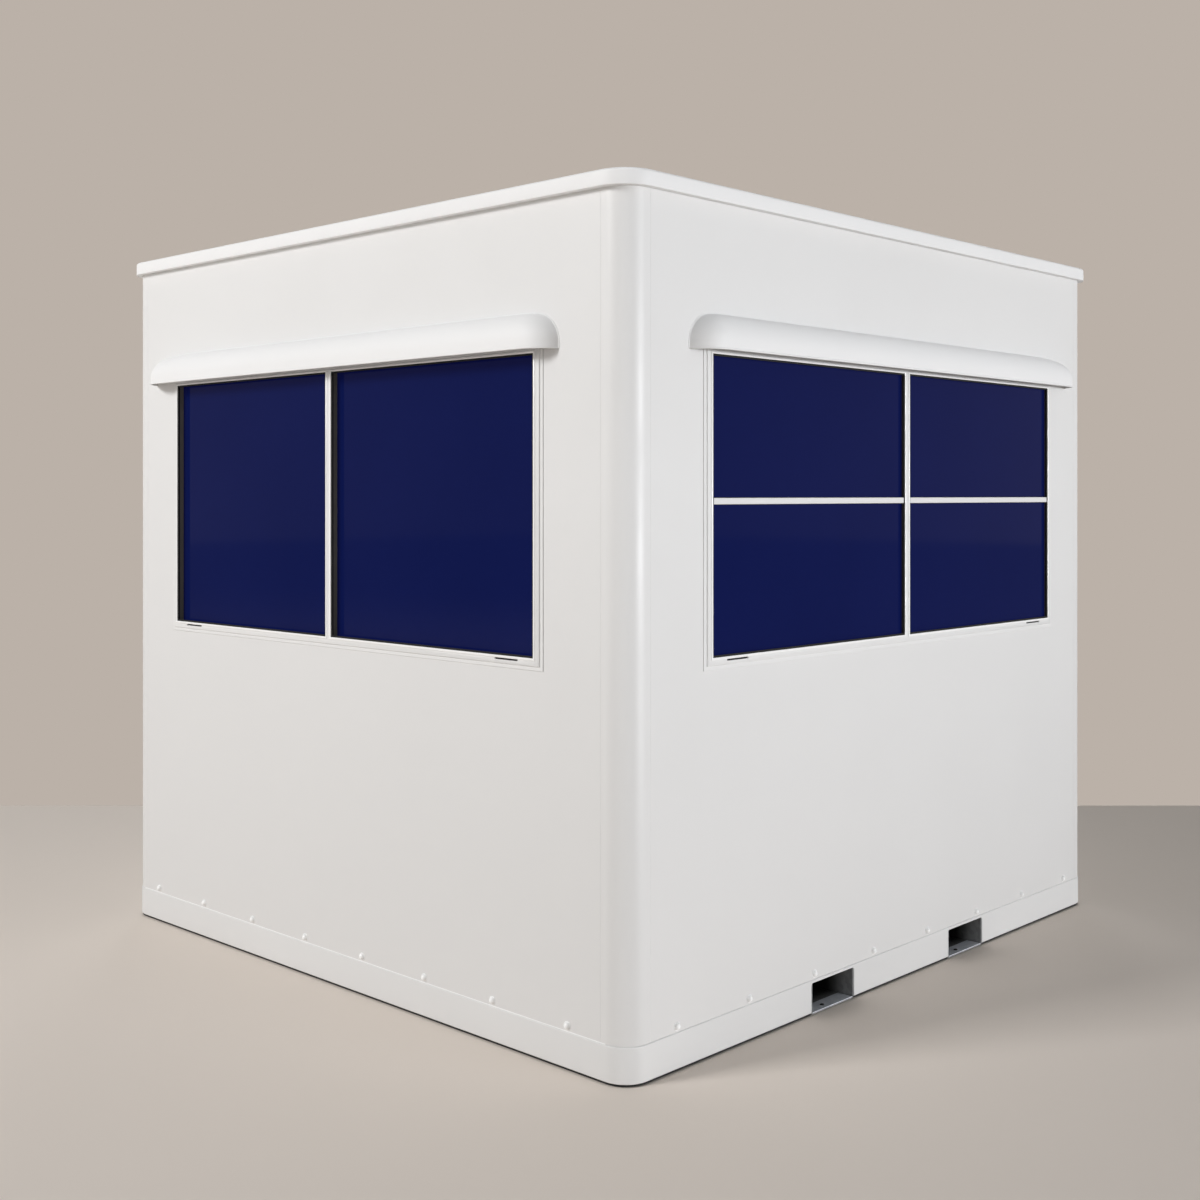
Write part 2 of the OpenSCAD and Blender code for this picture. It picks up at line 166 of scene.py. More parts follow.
# %% Helpers for node trees
def set_inputs(tree, node, *firsts, **named):
    """Sets a node's first inputs, and its named ones with _ for spaces. What it gets is a
    value, an output to join, or a node, which stands for its first output."""
    named_inputs = [(name.replace("_", " "), value) for name, value in named.items()]
    for socket, value in list(enumerate(firsts)) + named_inputs:
        if isinstance(value, bpy.types.Node):
            value = value.outputs[0]
        if isinstance(value, bpy.types.NodeSocket):
            tree.links.new(value, node.inputs[socket])
        else:
            node.inputs[socket].default_value = value


def add_node(tree, kind, *firsts, **named):
    """A new node. A name that starts with a small letter is a setting and not an input."""
    node = tree.nodes.new(kind)
    settings = [name for name in named if name[0].islower()]
    for name in settings:
        setattr(node, name, named.pop(name))
    set_inputs(tree, node, *firsts, **named)
    return node


def map_range(tree, value, start, end, low, high, **settings):
    """Carries a value from the range start to end over to the range low to high."""
    return add_node(tree, "ShaderNodeMapRange", Value=value, From_Min=start, From_Max=end,
                    To_Min=low, To_Max=high, **settings).outputs["Result"]


def empty_tree(owner):
    """The node tree of a world or a material, with nothing in it yet."""
    owner.use_nodes = True
    owner.node_tree.nodes.clear()
    return owner.node_tree


# %% Make the world
world = bpy.data.worlds.new("studio")
scene.world = world
tree = empty_tree(world)
ray = add_node(tree, "ShaderNodeLightPath").outputs
seen = add_node(
    tree, "ShaderNodeMath", ray["Is Camera Ray"], ray["Is Glossy Ray"], operation="MAXIMUM")
seen_or_passed = add_node(
    tree, "ShaderNodeMath", seen, ray["Is Transmission Ray"], operation="MAXIMUM")
heading = add_node(tree, "ShaderNodeTexCoord")
split = add_node(tree, "ShaderNodeSeparateXYZ", heading.outputs["Generated"])
climb = map_range(tree, split.outputs["Z"], 0, 1, ambient_low, ambient_high)
soft_light = add_node(tree, "ShaderNodeBackground", Color=AMBIENT_COLOUR, Strength=climb)
backdrop = add_node(tree, "ShaderNodeBackground", Color=WALL_COLOUR)
either = add_node(tree, "ShaderNodeMixShader", seen_or_passed, soft_light, backdrop)
add_node(tree, "ShaderNodeOutputWorld", Surface=either)
print("world: soft light from", ambient_low, "down to", ambient_high)

# %% Make the floor
def new_finish(name, **sockets):
    """A material whose shader has the given inputs set."""
    material = bpy.data.materials.new(name)
    material.use_nodes = True
    shader = material.node_tree.nodes["Principled BSDF"]
    set_inputs(material.node_tree, shader, **sockets)
    return material, material.node_tree, shader


def stage_plane(name, corners, material):
    """A four-cornered sheet that belongs to the studio and not to the pod."""
    mesh = bpy.data.meshes.new(name)
    mesh.from_pydata([tuple(corner) for corner in corners], [], [(0, 1, 2, 3)])
    mesh.materials.append(material)
    plane = bpy.data.objects.new(name, mesh)
    scene.collection.objects.link(plane)
    plane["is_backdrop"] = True
    return plane


floor_reach = 40
floor_drop = 3 * MM
floor_material, tree, shader = new_finish(
    "studio_floor", Base_Color=FLOOR_COLOUR, Roughness=0.75, Specular_IOR_Level=0.2)
stage_plane("floor", [
    (x * floor_reach, y * floor_reach, -floor_drop)
    for x, y in ((-1, -1), (1, -1), (1, 1), (-1, 1))], floor_material)
print("floor reaches", floor_reach, "m each way")

# %% Make the wall behind
look = Vector((-math.sin(camera_turn), math.cos(camera_turn), 0))
across = Vector((math.cos(camera_turn), math.sin(camera_turn), 0))
wall_distance = 7.62
wall_half = 20
wall_height = 14
wall_foot = Vector((camera.location.x, camera.location.y, 0)) + look * wall_distance
wall_material = bpy.data.materials.new("studio_wall")
tree = empty_tree(wall_material)
paint = add_node(tree, "ShaderNodeEmission", Color=WALL_COLOUR)
clear = add_node(tree, "ShaderNodeBsdfTransparent")
side = add_node(tree, "ShaderNodeNewGeometry")
either = add_node(tree, "ShaderNodeMixShader", side.outputs["Backfacing"], paint, clear)
add_node(tree, "ShaderNodeOutputMaterial", Surface=either)
studio_wall = stage_plane("studio_wall", [
    wall_foot + across * end + Vector((0, 0, height)) for end, height in (
        (-wall_half, 0), (wall_half, 0), (wall_half, wall_height), (-wall_half, wall_height))],
    wall_material)
for rays in ("diffuse", "glossy", "transmission", "shadow"):
    setattr(studio_wall, "visible_" + rays, False)
print("studio wall", wall_distance, "m in front of the camera")

# %% [markdown]
# ## The lamps
#
# A large soft key light stands well in front of the pod and a little to the left. It
# shines down at a low angle, which gives the cap and the hoods their narrow shadows on
# the front, and throws the pod's own shadow to the right. A slightly cooler light lights
# the side wall. It is farther off and much lower, so that it reaches in under the hood
# and hardly lights the floor. A weaker one, also low, does the same for the two walls
# at the back, and a faint one, nearly as wide as the roof, hangs over it. These three
# have a narrow spread, as if they shone through a grid, so they leave no bright pool on
# the floor.

# %% Place four soft lamps
def soft_lamp(name, place, target, size, power, spread=180, colour=(1, 1, 1)):
    """An area light at a place, aimed at a target, its light kept within a cone."""
    data = bpy.data.lights.new(name, "AREA")
    data.shape = "RECTANGLE"
    data.size, data.size_y = size
    data.energy = power
    data.spread = math.radians(spread)
    data.color = colour
    lamp = bpy.data.objects.new(name, data)
    lamp.location = place
    lamp.rotation_euler = (Vector(target) - Vector(place)).to_track_quat("-Z", "Y").to_euler()
    scene.collection.objects.link(lamp)
    print(f"{name}: {power} W, {size[0]} by {size[1]} m")


soft_lamp("key_lamp", place=(-4.4, -13.4, 8.2), target=(0, 0, 1.1), size=(4, 4), power=1330)
soft_lamp("side_lamp", place=(21.4, 5.4, 1.7), target=(1.2, 0, 1.3), size=(10, 3.2), power=174,
          spread=40, colour=(0.95, 0.97, 1.0))
soft_lamp("back_lamp", place=(-15.5, 15.5, 2.2), target=(0, 0, 1.3), size=(10, 4), power=125,
          spread=40)
soft_lamp("roof_lamp", place=(0, 0, 3.0), target=(0, 0, 2.4), size=(2.464, 2.554), power=5.7,
          spread=4)

# %% [markdown]
# ## Paint, in general
#
# A finish looks real when it is a little uneven, in up to three ways: a colour that
# drifts from place to place, a gloss that isn't quite even, and a surface that isn't
# quite flat. Small helpers wire a noise to each of them. The noises read object
# coordinates, and since every piece sits at the origin, the pattern runs on from one
# piece to the next.

# %% Helpers for finishes
NOISE_MIDDLE = (0.3, 0.7)


def noise(tree, scale, detail=2, stretch=(1, 1, 1)):
    """A noise on object coordinates, with blobs about 1/scale metres across."""
    place = add_node(tree, "ShaderNodeTexCoord")
    mapping = add_node(tree, "ShaderNodeMapping", Vector=place.outputs["Object"], Scale=stretch)
    return add_node(tree, "ShaderNodeTexNoise", Vector=mapping, Scale=scale,
                    Detail=detail).outputs["Fac"]


def spread(tree, value, low, high):
    """Turns a noise's middle range into values from low to high."""
    return map_range(tree, value, *NOISE_MIDDLE, low, high)


def blend_colours(tree, share, first, second):
    """A colour between two others, by share."""
    return add_node(tree, "ShaderNodeMix", data_type="RGBA", A=first, B=second,
                    Factor=share).outputs["Result"]


def mottle(tree, pattern, first, second):
    """A colour that drifts between two tones as a noise does."""
    return blend_colours(tree, spread(tree, pattern, 0, 1), first, second)


def bump(tree, shader, *layers):
    """Stacks bumps on a shader: each layer is a height, its strength and its depth in metres."""
    for height, strength, depth in layers:
        node = add_node(
            tree, "ShaderNodeBump", Strength=strength, Distance=depth, Height=height)
        if shader.inputs["Normal"].is_linked:
            tree.links.new(shader.inputs["Normal"].links[0].from_socket, node.inputs["Normal"])
        tree.links.new(node.outputs["Normal"], shader.inputs["Normal"])


# %% [markdown]
# ## White finishes
#
# Five whites show on the pod, close in colour but not in gloss. The panels carry a satin
# coil coating: flat sheet that still wanders by a fraction of a millimetre between its
# edges, with a fine orange peel. Towards the foot it is painted a little greyer, as shade.
# The skirt has a heavier sprayed coat. The window frames are powder coated, and the
# beads that hold their panes are bright plastic, painted whiter partly as a highlight.
# The cap and hoods are moulded: whiter and smoother than the panels, with a softer shine.

# %% Mix the white finishes
# Between these heights the panel white is painted greyer towards the foot, as shade.
shade_full_below = 0.1
shade_free_above = 1.6
tone_scale = 1.1
gloss_scale = 4.0
wave_scale = 1.7
peel_depth = 0.05 * MM


def height_of(tree):
    """The height of a point on the pod."""
    place = add_node(tree, "ShaderNodeTexCoord")
    return add_node(tree, "ShaderNodeSeparateXYZ", place.outputs["Object"]).outputs["Z"]


def white_finish(name, light, dark, rough, peel, peel_scale, wave, foot_shade_tone=None):
    """A white paint: two close tones, a range of roughness, an orange peel and a slow wave."""
    material, tree, shader = new_finish(name, Specular_IOR_Level=0.5)
    colour = mottle(tree, noise(tree, tone_scale, 3), light, dark)
    # Painted shade: the colour turns greyer towards the foot.
    if foot_shade_tone:
        foot_shade = map_range(tree, height_of(tree), shade_full_below, shade_free_above, 1, 0)
        colour = blend_colours(tree, foot_shade, colour, foot_shade_tone)
    roughness = spread(tree, noise(tree, gloss_scale, 3), *rough)
    set_inputs(tree, shader, Base_Color=colour, Roughness=roughness)
    bump(tree, shader, (noise(tree, wave_scale, 1), 0.5, wave),
         (noise(tree, peel_scale), peel, peel_depth))
    print("finish", name)
    return material


panel_white = white_finish(
    "panel_white", (0.79, 0.79, 0.788, 1), (0.77, 0.77, 0.768, 1), rough=(0.36, 0.46),
    peel=0.25, peel_scale=420, wave=1.2 * MM, foot_shade_tone=(0.715, 0.708, 0.7, 1))
skirt_paint = white_finish(
    "skirt_paint", (0.74, 0.736, 0.73, 1), (0.71, 0.706, 0.7, 1), rough=(0.34, 0.44),
    peel=0.35, peel_scale=260, wave=1.0 * MM)
moulded_white = white_finish(
    "moulded_white", (0.86, 0.862, 0.865, 1), (0.84, 0.842, 0.845, 1), rough=(0.5, 0.58),
    peel=0.12, peel_scale=180, wave=0.6 * MM)
frame_white = white_finish(
    "window_frame_white", (0.8, 0.8, 0.798, 1), (0.785, 0.785, 0.783, 1), rough=(0.3, 0.38),
    peel=0.3, peel_scale=700, wave=0.2 * MM)
# Whitest finish, for beads, sealant and bolts: whiter partly as painted highlight.
highlight_bead_white = white_finish(
    "highlight_bead_white", (0.97, 0.97, 0.968, 1), (0.95, 0.95, 0.948, 1), rough=(0.16, 0.22),
    peel=0.1, peel_scale=700, wave=0.1 * MM)

# %% [markdown]
# ## Glass, rubber and metals
#
# The panes are tinted so deeply that nothing inside shows: a nearly opaque navy with a
# quiet gloss and a faint painted glow, which keeps it as blue in the shade of a hood as
# in the light. Round them sit black rubber and the dull bronze spacer of the sealed units.
# The floor is grey sheet vinyl with fine flecks. Galvanised steel has its crystal pattern,
# called spangle, which a Voronoi texture copies well, and in a fork pocket it is painted
# darker the deeper it lies, as shade. Satin steel is brushed: a noise drawn out along one
# direction.

# %% Mix glass, rubber, bronze and vinyl
def mottled_finish(name, first, second, pattern, surface, **sockets):
    """A finish in two tones. pattern and surface are noises, and surface has a strength
    and a depth besides."""
    material, tree, shader = new_finish(name, **sockets)
    set_inputs(tree, shader, Base_Color=mottle(tree, noise(tree, *pattern), first, second))
    scale, detail, strength, depth = surface
    bump(tree, shader, (noise(tree, scale, detail), strength, depth))
    print("finish", name)
    return material


# Painted glow: the faint emission keeps the panes as blue in a hood's shade as in the light.
navy_glass = mottled_finish(
    "navy_glass", (0.0024, 0.0066, 0.048, 1), (0.0031, 0.0075, 0.053, 1),
    pattern=(2.2, 3), surface=(1.3, 0, 0.4, 0.5 * MM), Specular_IOR_Level=0.045,
    Roughness=0.05, IOR=1.5, Emission_Color=(0.0018, 0.0018, 0.02, 1), Emission_Strength=1.0)
black_rubber = mottled_finish(
    "black_rubber", (0.009, 0.009, 0.01, 1), (0.016, 0.016, 0.017, 1),
    pattern=(60, 3), surface=(900, 2, 0.4, 0.05 * MM), Roughness=0.7, Specular_IOR_Level=0.3)
bronze_spacer = mottled_finish(
    "bronze_anodised", (0.105, 0.1, 0.085, 1), (0.16, 0.152, 0.135, 1),
    pattern=(9, 3, (1, 1, 0.3)), surface=(500, 2, 0.2, 0.05 * MM), Roughness=0.5)
floor_covering = mottled_finish(
    "floor_covering", (0.13, 0.13, 0.128, 1), (0.24, 0.24, 0.235, 1),
    pattern=(450, 4), surface=(450, 4, 0.2, 0.1 * MM), Roughness=0.5)

# %% Mix the bare metals
# Painted shade: inside a fork tube the steel is darkened towards the middle of the pod.
POCKET_SHADE = (0.02, 0.0195, 0.018, 1)
unshaded_near_mouth = (right_x - 100 * MM, right_x - 30 * MM)
unshaded_everywhere = (-200 * MM, -100 * MM)
crystals_per_metre = 70
zinc_rough = (0.42, 0.56)
grain_scale = 800
grain_stretch = (1, 1, 0.03)
brushed_rough = (0.26, 0.38)


def galvanised_finish(name, dull, bright, unshaded_range):
    """Zinc-coated steel: crystals of uneven tone, painted darker as shade towards the middle."""
    material, tree, shader = new_finish(name, Metallic=0.3)
    place = add_node(tree, "ShaderNodeTexCoord").outputs["Object"]
    crystals = add_node(tree, "ShaderNodeTexVoronoi", Scale=crystals_per_metre, Vector=place)
    grey = add_node(tree, "ShaderNodeSeparateColor", crystals.outputs["Color"]).outputs
    spangle = blend_colours(tree, grey["Red"], dull, bright)
    split = add_node(tree, "ShaderNodeSeparateXYZ", place)
    off_centre = add_node(tree, "ShaderNodeMath", split, operation="ABSOLUTE")
    # Painted shade: darker the nearer the middle of the pod, between the two given distances.
    shaded_share = map_range(
        tree, off_centre, *unshaded_range, 1, 0, interpolation_type="SMOOTHSTEP")
    set_inputs(tree, shader, Base_Color=blend_colours(tree, shaded_share, spangle, POCKET_SHADE),
               Roughness=spread(tree, grey["Green"], *zinc_rough))
    bump(tree, shader, (noise(tree, 90, 3), 0.3, 0.1 * MM))
    print("finish", name)
    return material


def brushed_finish(name, dull, bright):
    """Satin stainless steel, brushed along the height of the piece."""
    material, tree, shader = new_finish(name, Metallic=1.0)
    grain = noise(tree, grain_scale, stretch=grain_stretch)
    set_inputs(tree, shader, Base_Color=mottle(tree, grain, dull, bright),
               Roughness=spread(tree, grain, *brushed_rough))
    bump(tree, shader, (grain, 0.15, 0.03 * MM))
    print("finish", name)
    return material


galvanised_steel = galvanised_finish(
    "galvanised_steel", (0.3, 0.31, 0.32, 1), (0.42, 0.435, 0.45, 1), unshaded_everywhere)
tube_steel = galvanised_finish(
    "fork_tube_steel", (0.26, 0.268, 0.278, 1), (0.38, 0.39, 0.4, 1), unshaded_near_mouth)
plate_steel = galvanised_finish(
    "mouth_plate_steel", (0.68, 0.72, 0.79, 1), (0.8, 0.84, 0.9, 1), unshaded_everywhere)
satin_steel = brushed_finish("satin_steel", (0.52, 0.52, 0.53, 1), (0.64, 0.64, 0.65, 1))

# %% [markdown]
# ## From a list of rings to a solid
#
# Nearly every shape on the pod is one outline repeated: a rim is an outline that shrinks
# and rises, a tube is an outline that runs on, a hood is one section carried along a
# path. So the main tool is a stack of rings, each a list of points with the same count,
# joined ring to ring by four-sided faces. The stack either closes on itself, as a
# channel does, or gets a lid at each end.

# %% Ring tools
def stack_rings(shape, rings, closed=False):
    """Joins rings of points into a skin, closed on itself or with a lid at each end."""
    rows = [[shape.verts.new(point) for point in ring] for ring in rings]
    pairs = list(zip(rows, rows[1:]))
    if closed:
        pairs.append((rows[-1], rows[0]))
    for low, high in pairs:
        for i in range(len(low)):
            j = (i + 1) % len(low)
            shape.faces.new((low[i], low[j], high[j], high[i]))
    if not closed:
        shape.faces.new(list(reversed(rows[0])))
        shape.faces.new(rows[-1])


def rounded_outline(half_x, half_y, radius, steps=20):
    """Points anticlockwise round a rectangle with rounded corners, centred on zero."""
    points = []
    for quarter, (sx, sy) in enumerate(((1, 1), (-1, 1), (-1, -1), (1, -1))):
        for step in range(steps + 1):
            angle = math.pi / 2 * (quarter + step / steps)
            points.append((sx * (half_x - radius) + radius * math.cos(angle),
                           sy * (half_y - radius) + radius * math.sin(angle)))
    return points


def arc(centre, radius, start, end, steps):
    """Points on an arc, with its angles in degrees."""
    return [(centre[0] + radius * math.cos(math.radians(start + (end - start) * i / steps)),
             centre[1] + radius * math.sin(math.radians(start + (end - start) * i / steps)))
            for i in range(steps + 1)]


def add_box(shape, low, high, place=lambda x, y, z: (x, y, z)):
    """A box between two corners, given in the terms of a placing function."""
    corners = [(low[0], low[1]), (high[0], low[1]), (high[0], high[1]), (low[0], high[1])]
    stack_rings(shape, [[place(x, y, z) for x, y in corners] for z in (low[2], high[2])])


# %% [markdown]
# ## From a solid to a piece of the pod
#
# A piece needs a mesh with its faces outwards, a finish, and the body that it moves with.
# The pod has no moving part, so all pieces ride on its one body. Where a piece stands for
# a plain part of the imported model, that part is hidden.
#
# Real edges are never sharp. A bevel of a millimetre or two gives each edge a thin line
# of light, and weighted normals keep the flat faces flat beside it.

# %% Piece tools
merge_gap = 0.01 * MM
soft_angle = 40


def as_object(name, shape):
    """An object with a bmesh as its mesh, its faces turned outwards."""
    bmesh.ops.recalc_face_normals(shape, faces=shape.faces)
    mesh = bpy.data.meshes.new(name)
    shape.to_mesh(mesh)
    shape.free()
    made = bpy.data.objects.new(name, mesh)
    scene.collection.objects.link(made)
    return made


def settle(piece):
    """Swaps a piece's mesh for its finished form and removes the modifiers."""
    bpy.context.view_layer.update()
    graph = bpy.context.evaluated_depsgraph_get()
    plain = piece.data
    finished = bpy.data.meshes.new_from_object(
        piece.evaluated_get(graph), preserve_all_data_layers=True, depsgraph=graph)
    piece.modifiers.clear()
    piece.data = finished
    name = plain.name
    bpy.data.meshes.remove(plain)
    finished.name = name


def register(piece, stands_for=()):
    """Ties a piece to the pod's body and hides the parts it stands for."""
    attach(piece, "root")
    if stands_for:
        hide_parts(*stands_for)
    print(f"{piece.name}: {len(piece.data.polygons)} faces")


def make_piece(name, shape, finish, stands_for=(), edge=0.0, smooth=soft_angle):
    """Finishes a bmesh as a named piece. edge is the width of its rounded edges."""
    bmesh.ops.remove_doubles(shape, verts=shape.verts, dist=merge_gap)
    piece = as_object(name, shape)
    mesh = piece.data
    mesh.materials.append(finish)
    mesh.shade_smooth()
    mesh.set_sharp_from_angle(angle=math.radians(smooth))
    if edge:
        bevel = piece.modifiers.new("edges", "BEVEL")
        bevel.width = edge
        bevel.segments = 2
        bevel.limit_method = "ANGLE"
        bevel.angle_limit = math.radians(smooth)
        flat = piece.modifiers.new("flat faces", "WEIGHTED_NORMAL")
        flat.keep_sharp = False
        mesh.shade_smooth()
        settle(piece)
    register(piece, stands_for)
    return piece


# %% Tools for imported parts
def copy_part(node):
    """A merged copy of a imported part, with its flat faces made whole."""
    shape = bmesh.new()
    shape.from_mesh(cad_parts[node].data)
    bmesh.ops.remove_doubles(shape, verts=shape.verts, dist=merge_gap)
    bmesh.ops.dissolve_limit(
        shape, angle_limit=math.radians(0.5), verts=shape.verts, edges=shape.edges)
    return shape


def paint_part(node, finish):
    """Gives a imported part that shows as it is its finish."""
    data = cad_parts[node].data
    data.materials.clear()
    data.materials.append(finish)
    print(f"{node}: painted {finish.name}")


# %% [markdown]
# ## Panels and posts
#
# The walls are flat sandwich panels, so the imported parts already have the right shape
# and only need soft edges. The posts are different: their outer corner is a quarter
# round, which should be smooth, so their L-shaped plan is drawn again with a fine arc
# and run up to the roof. A line of sealant closes each joint, just below the surface,
# which is why the joints on such a cabin look faint and not black.

# %% Wall panels
panel_edge = 0.6 * MM
for node in ("front_wall", "right_wall", "left_wall",
             "rear_wall_left", "rear_wall_right", "rear_wall_over_door"):
    make_piece(node + "_panel", copy_part(node), panel_white, [node], panel_edge)

# %% Corner posts
post_radius = 76 * MM
post_leg = right_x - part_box("corner_post_front_right")[0].x


def post_plan(sx, sy):
    """The L-shaped plan of the post at the corner with the given signs, anticlockwise."""
    corner_x = right_x if sx > 0 else -left_x
    corner_y = rear_y if sy > 0 else -front_y
    centre = (corner_x - post_radius, corner_y - post_radius)
    plan = [(corner_x, corner_y - post_leg)] + arc(centre, post_radius, 0, 90, 28)
    plan += [(corner_x - post_leg, corner_y), (corner_x - post_leg, corner_y - panel_depth),
             (corner_x - panel_depth, corner_y - panel_depth),
             (corner_x - panel_depth, corner_y - post_leg)]
    return [(sx * x, sy * y) for x, y in plan]


for name, sx, sy in (("front_right", 1, -1), ("front_left", -1, -1),
                     ("rear_right", 1, 1), ("rear_left", -1, 1)):
    shape = bmesh.new()
    plan = post_plan(sx, sy)
    stack_rings(shape, [[(x, y, z) for x, y in plan] for z in (skirt_top, wall_top)])
    node = "corner_post_" + name
    make_piece(node + "_cover", shape, panel_white, [node], panel_edge)

# %% Sealant in the joints between panels and posts
seal_sink = 0.5 * MM
seal_depth = 6 * MM
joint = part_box("front_wall")[0].x - (left_x + post_leg)
shape = bmesh.new()
for place, half_run in ((on_front, right_x), (on_rear, right_x), (on_right, rear_y), (on_left, rear_y)):
    for side in (-1, 1):
        inner = side * (half_run - post_leg - joint - panel_edge)
        outer = side * (half_run - post_leg + panel_edge)
        add_box(shape, (min(inner, outer), seal_sink, skirt_top + panel_edge),
                (max(inner, outer), seal_depth, wall_top - panel_edge), place)
make_piece("panel_joint_seals", shape, frame_white)

# %% [markdown]
# ## The skirt
#
# The base is a bent steel channel that runs round the pod, welded and painted, so it has
# no joint at the corners. Its section is carried round a rounded rectangle: each point
# of the section becomes one ring, inset by its depth. A bead of sealant lies on the ledge
# along the front and the rear, painted whiter than the skirt partly as a highlight. The
# channel stands on a thin black strip, a painted contact shadow that reads as a dark line
# at the foot. Two openings for a forklift's tines are then cut through both sides. Their
# upper corners are rounded, as a plasma cutter leaves them.

# %% Skirt channel
skirt_low, skirt_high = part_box("skirt_front")
skirt_proud = front_y - skirt_low.y
flange_inset = skirt_high.y - skirt_low.y
steel = 4 * MM
bend = 4.5 * MM
inner_bend = 1 * MM
foot = 4 * MM


def skirt_section():
    """The channel's section as inset and height, round the web and both flanges."""
    top = skirt_high.z
    inside = foot + steel
    section = arc((bend, foot + bend), bend, 270, 180, 6)
    section += arc((bend, top - bend), bend, 180, 90, 6)
    section += [(flange_inset, top), (flange_inset, top - steel)]
    section += [(steel + inner_bend, top - steel), (steel, top - steel - inner_bend)]
    section += [(steel, inside + inner_bend), (steel + inner_bend, inside)]
    return section + [(flange_inset, inside), (flange_inset, foot)]


def ring_round_pod(inset, height, outer_x, outer_y, outer_radius, steps=20):
    """One ring round the pod, inset from an outer rounded rectangle."""
    outline = rounded_outline(outer_x - inset, outer_y - inset, outer_radius - inset, steps)
    return [(x, y, height) for x, y in outline]


def run_round_pod(section):
    """A section carried round the pod, its insets counted from the skirt's face."""
    shape = bmesh.new()
    stack_rings(shape, [
        ring_round_pod(inset, height, right_x + skirt_proud, rear_y + skirt_proud,
                       post_radius + skirt_proud)
        for inset, height in section], closed=True)
    return shape


skirt = make_piece("skirt_channel", run_round_pod(skirt_section()), skirt_paint,
                   ["skirt_front", "skirt_rear", "skirt_right", "skirt_left", "skirt_corners"])
print("skirt stands proud by", round(skirt_proud / MM, 2), "mm")

# %% The bead on the skirt's ledge, and the black strip under its foot as painted shadow
ledge_bead = 1.2 * MM
half_ledge = right_x - post_radius
strip_inset = 2.5 * MM
strip_end = flange_inset - foot
shape = bmesh.new()
for place in (on_front, on_rear):
    stack_rings(shape, [
        [place(along, depth, skirt_high.z + height)
         for depth, height in arc((0, ledge_bead / 2), ledge_bead, 0, 330, 11)]
        for along in (-half_ledge, half_ledge)])
make_piece("skirt_sealant", shape, highlight_bead_white)
# Painted shadow: a black strip under the foot makes the dark contact line along it.
foot_shadow_strip = make_piece("skirt_foot_shadow_strip", run_round_pod([
    (strip_inset, 0), (strip_inset, foot + bend), (strip_end, foot + steel / 2),
    (strip_end, 0)]), black_rubber)

# %% Cut the fork pockets
FORK_TUBES = ("fork_tube_front", "fork_tube_rear")
pocket_play = 2 * MM
pocket_corner = 9 * MM
pocket_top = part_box("fork_tube_front")[1].z - 5 * MM


def cut_with(piece, shape):
    """Cuts a solid out of a piece, and keeps nothing of the solid."""
    cutter = as_object("cutter", shape)
    mesh = cutter.data
    cut = piece.modifiers.new("cut", "BOOLEAN")
    cut.operation = "DIFFERENCE"
    cut.solver = "EXACT"
    cut.object = cutter
    settle(piece)
    bpy.data.objects.remove(cutter)
    bpy.data.meshes.remove(mesh)


def pocket_openings():
    """The solid that both fork pockets take away, from side to side."""
    shape = bmesh.new()
    bend_z = pocket_top - pocket_corner
    for node in FORK_TUBES:
        low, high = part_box(node)
        start = low.y - pocket_play
        end = high.y + pocket_play
        outline = [(start, -steel), (end, -steel)]
        outline += arc((end - pocket_corner, bend_z), pocket_corner, 0, 90, 8)
        outline += arc((start + pocket_corner, bend_z), pocket_corner, 90, 180, 8)
        stack_rings(shape, [[(x, y, z) for y, z in outline] for x in (cad_low.x, cad_high.x)])
    return shape


for piece in (skirt, foot_shadow_strip):
    cut_with(piece, pocket_openings())
skirt.data.set_sharp_from_angle(angle=math.radians(soft_angle))
print("fork pockets cut:", len(skirt.data.polygons), "faces left")

# %% [markdown]
# ## Fork tubes
#
# A rectangular steel tube lines each pocket from side to side, so that the tines can't
# tear the floor. Rolled tube has rounded corners, tighter inside than out. Inside, it is
# painted darker as shade, except near its mouths. A brighter plate lies on the foot of each
# mouth, where the tines scrape it clean, and a low black screw holds it.

# %% Fork tubes
tube_wall = 4 * MM
tube_corner = 8 * MM


def tube_along_x(low, high):
    """A hollow rectangular tube along X between two corners."""
    half_y = (high.y - low.y) / 2
    half_z = (high.z - low.z) / 2
    rings = []
    for x, inset in ((low.x, 0), (high.x, 0), (high.x, tube_wall), (low.x, tube_wall)):
        outline = rounded_outline(half_y - inset, half_z - inset, tube_corner - inset, 6)
        rings.append([(x, low.y + half_y + y, low.z + half_z + z) for y, z in outline])
    shape = bmesh.new()
    stack_rings(shape, rings, closed=True)
    return shape


for node in FORK_TUBES:
    make_piece(node + "_lining", tube_along_x(*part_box(node)), tube_steel,
               [node], 0.5 * MM)

# %% Plates and screws at their mouths
def add_turned(shape, profile, place, steps=20):
    """A turned solid: its profile is radius and height, and place carries x, y, height."""
    turn = [2 * math.pi * i / steps for i in range(steps)]
    stack_rings(shape, [
        [place(radius * math.cos(a), radius * math.sin(a), height) for a in turn]
        for radius, height in profile])


def dome_profile(radius, height):
    """A low dome on a flat base, from its rim to its crown."""
    turn = [math.radians(angle) for angle in (18, 36, 54, 72)]
    curve = [(radius * math.cos(angle), height * math.sin(angle)) for angle in turn]
    return [(radius, 0)] + curve + [(radius * 0.05, height)]


def upright_at(x0, y0, z0):
    """A placing function for a turned solid that stands upright on a point."""
    return lambda x, y, z: (x0 + x, y0 + y, z0 + z)


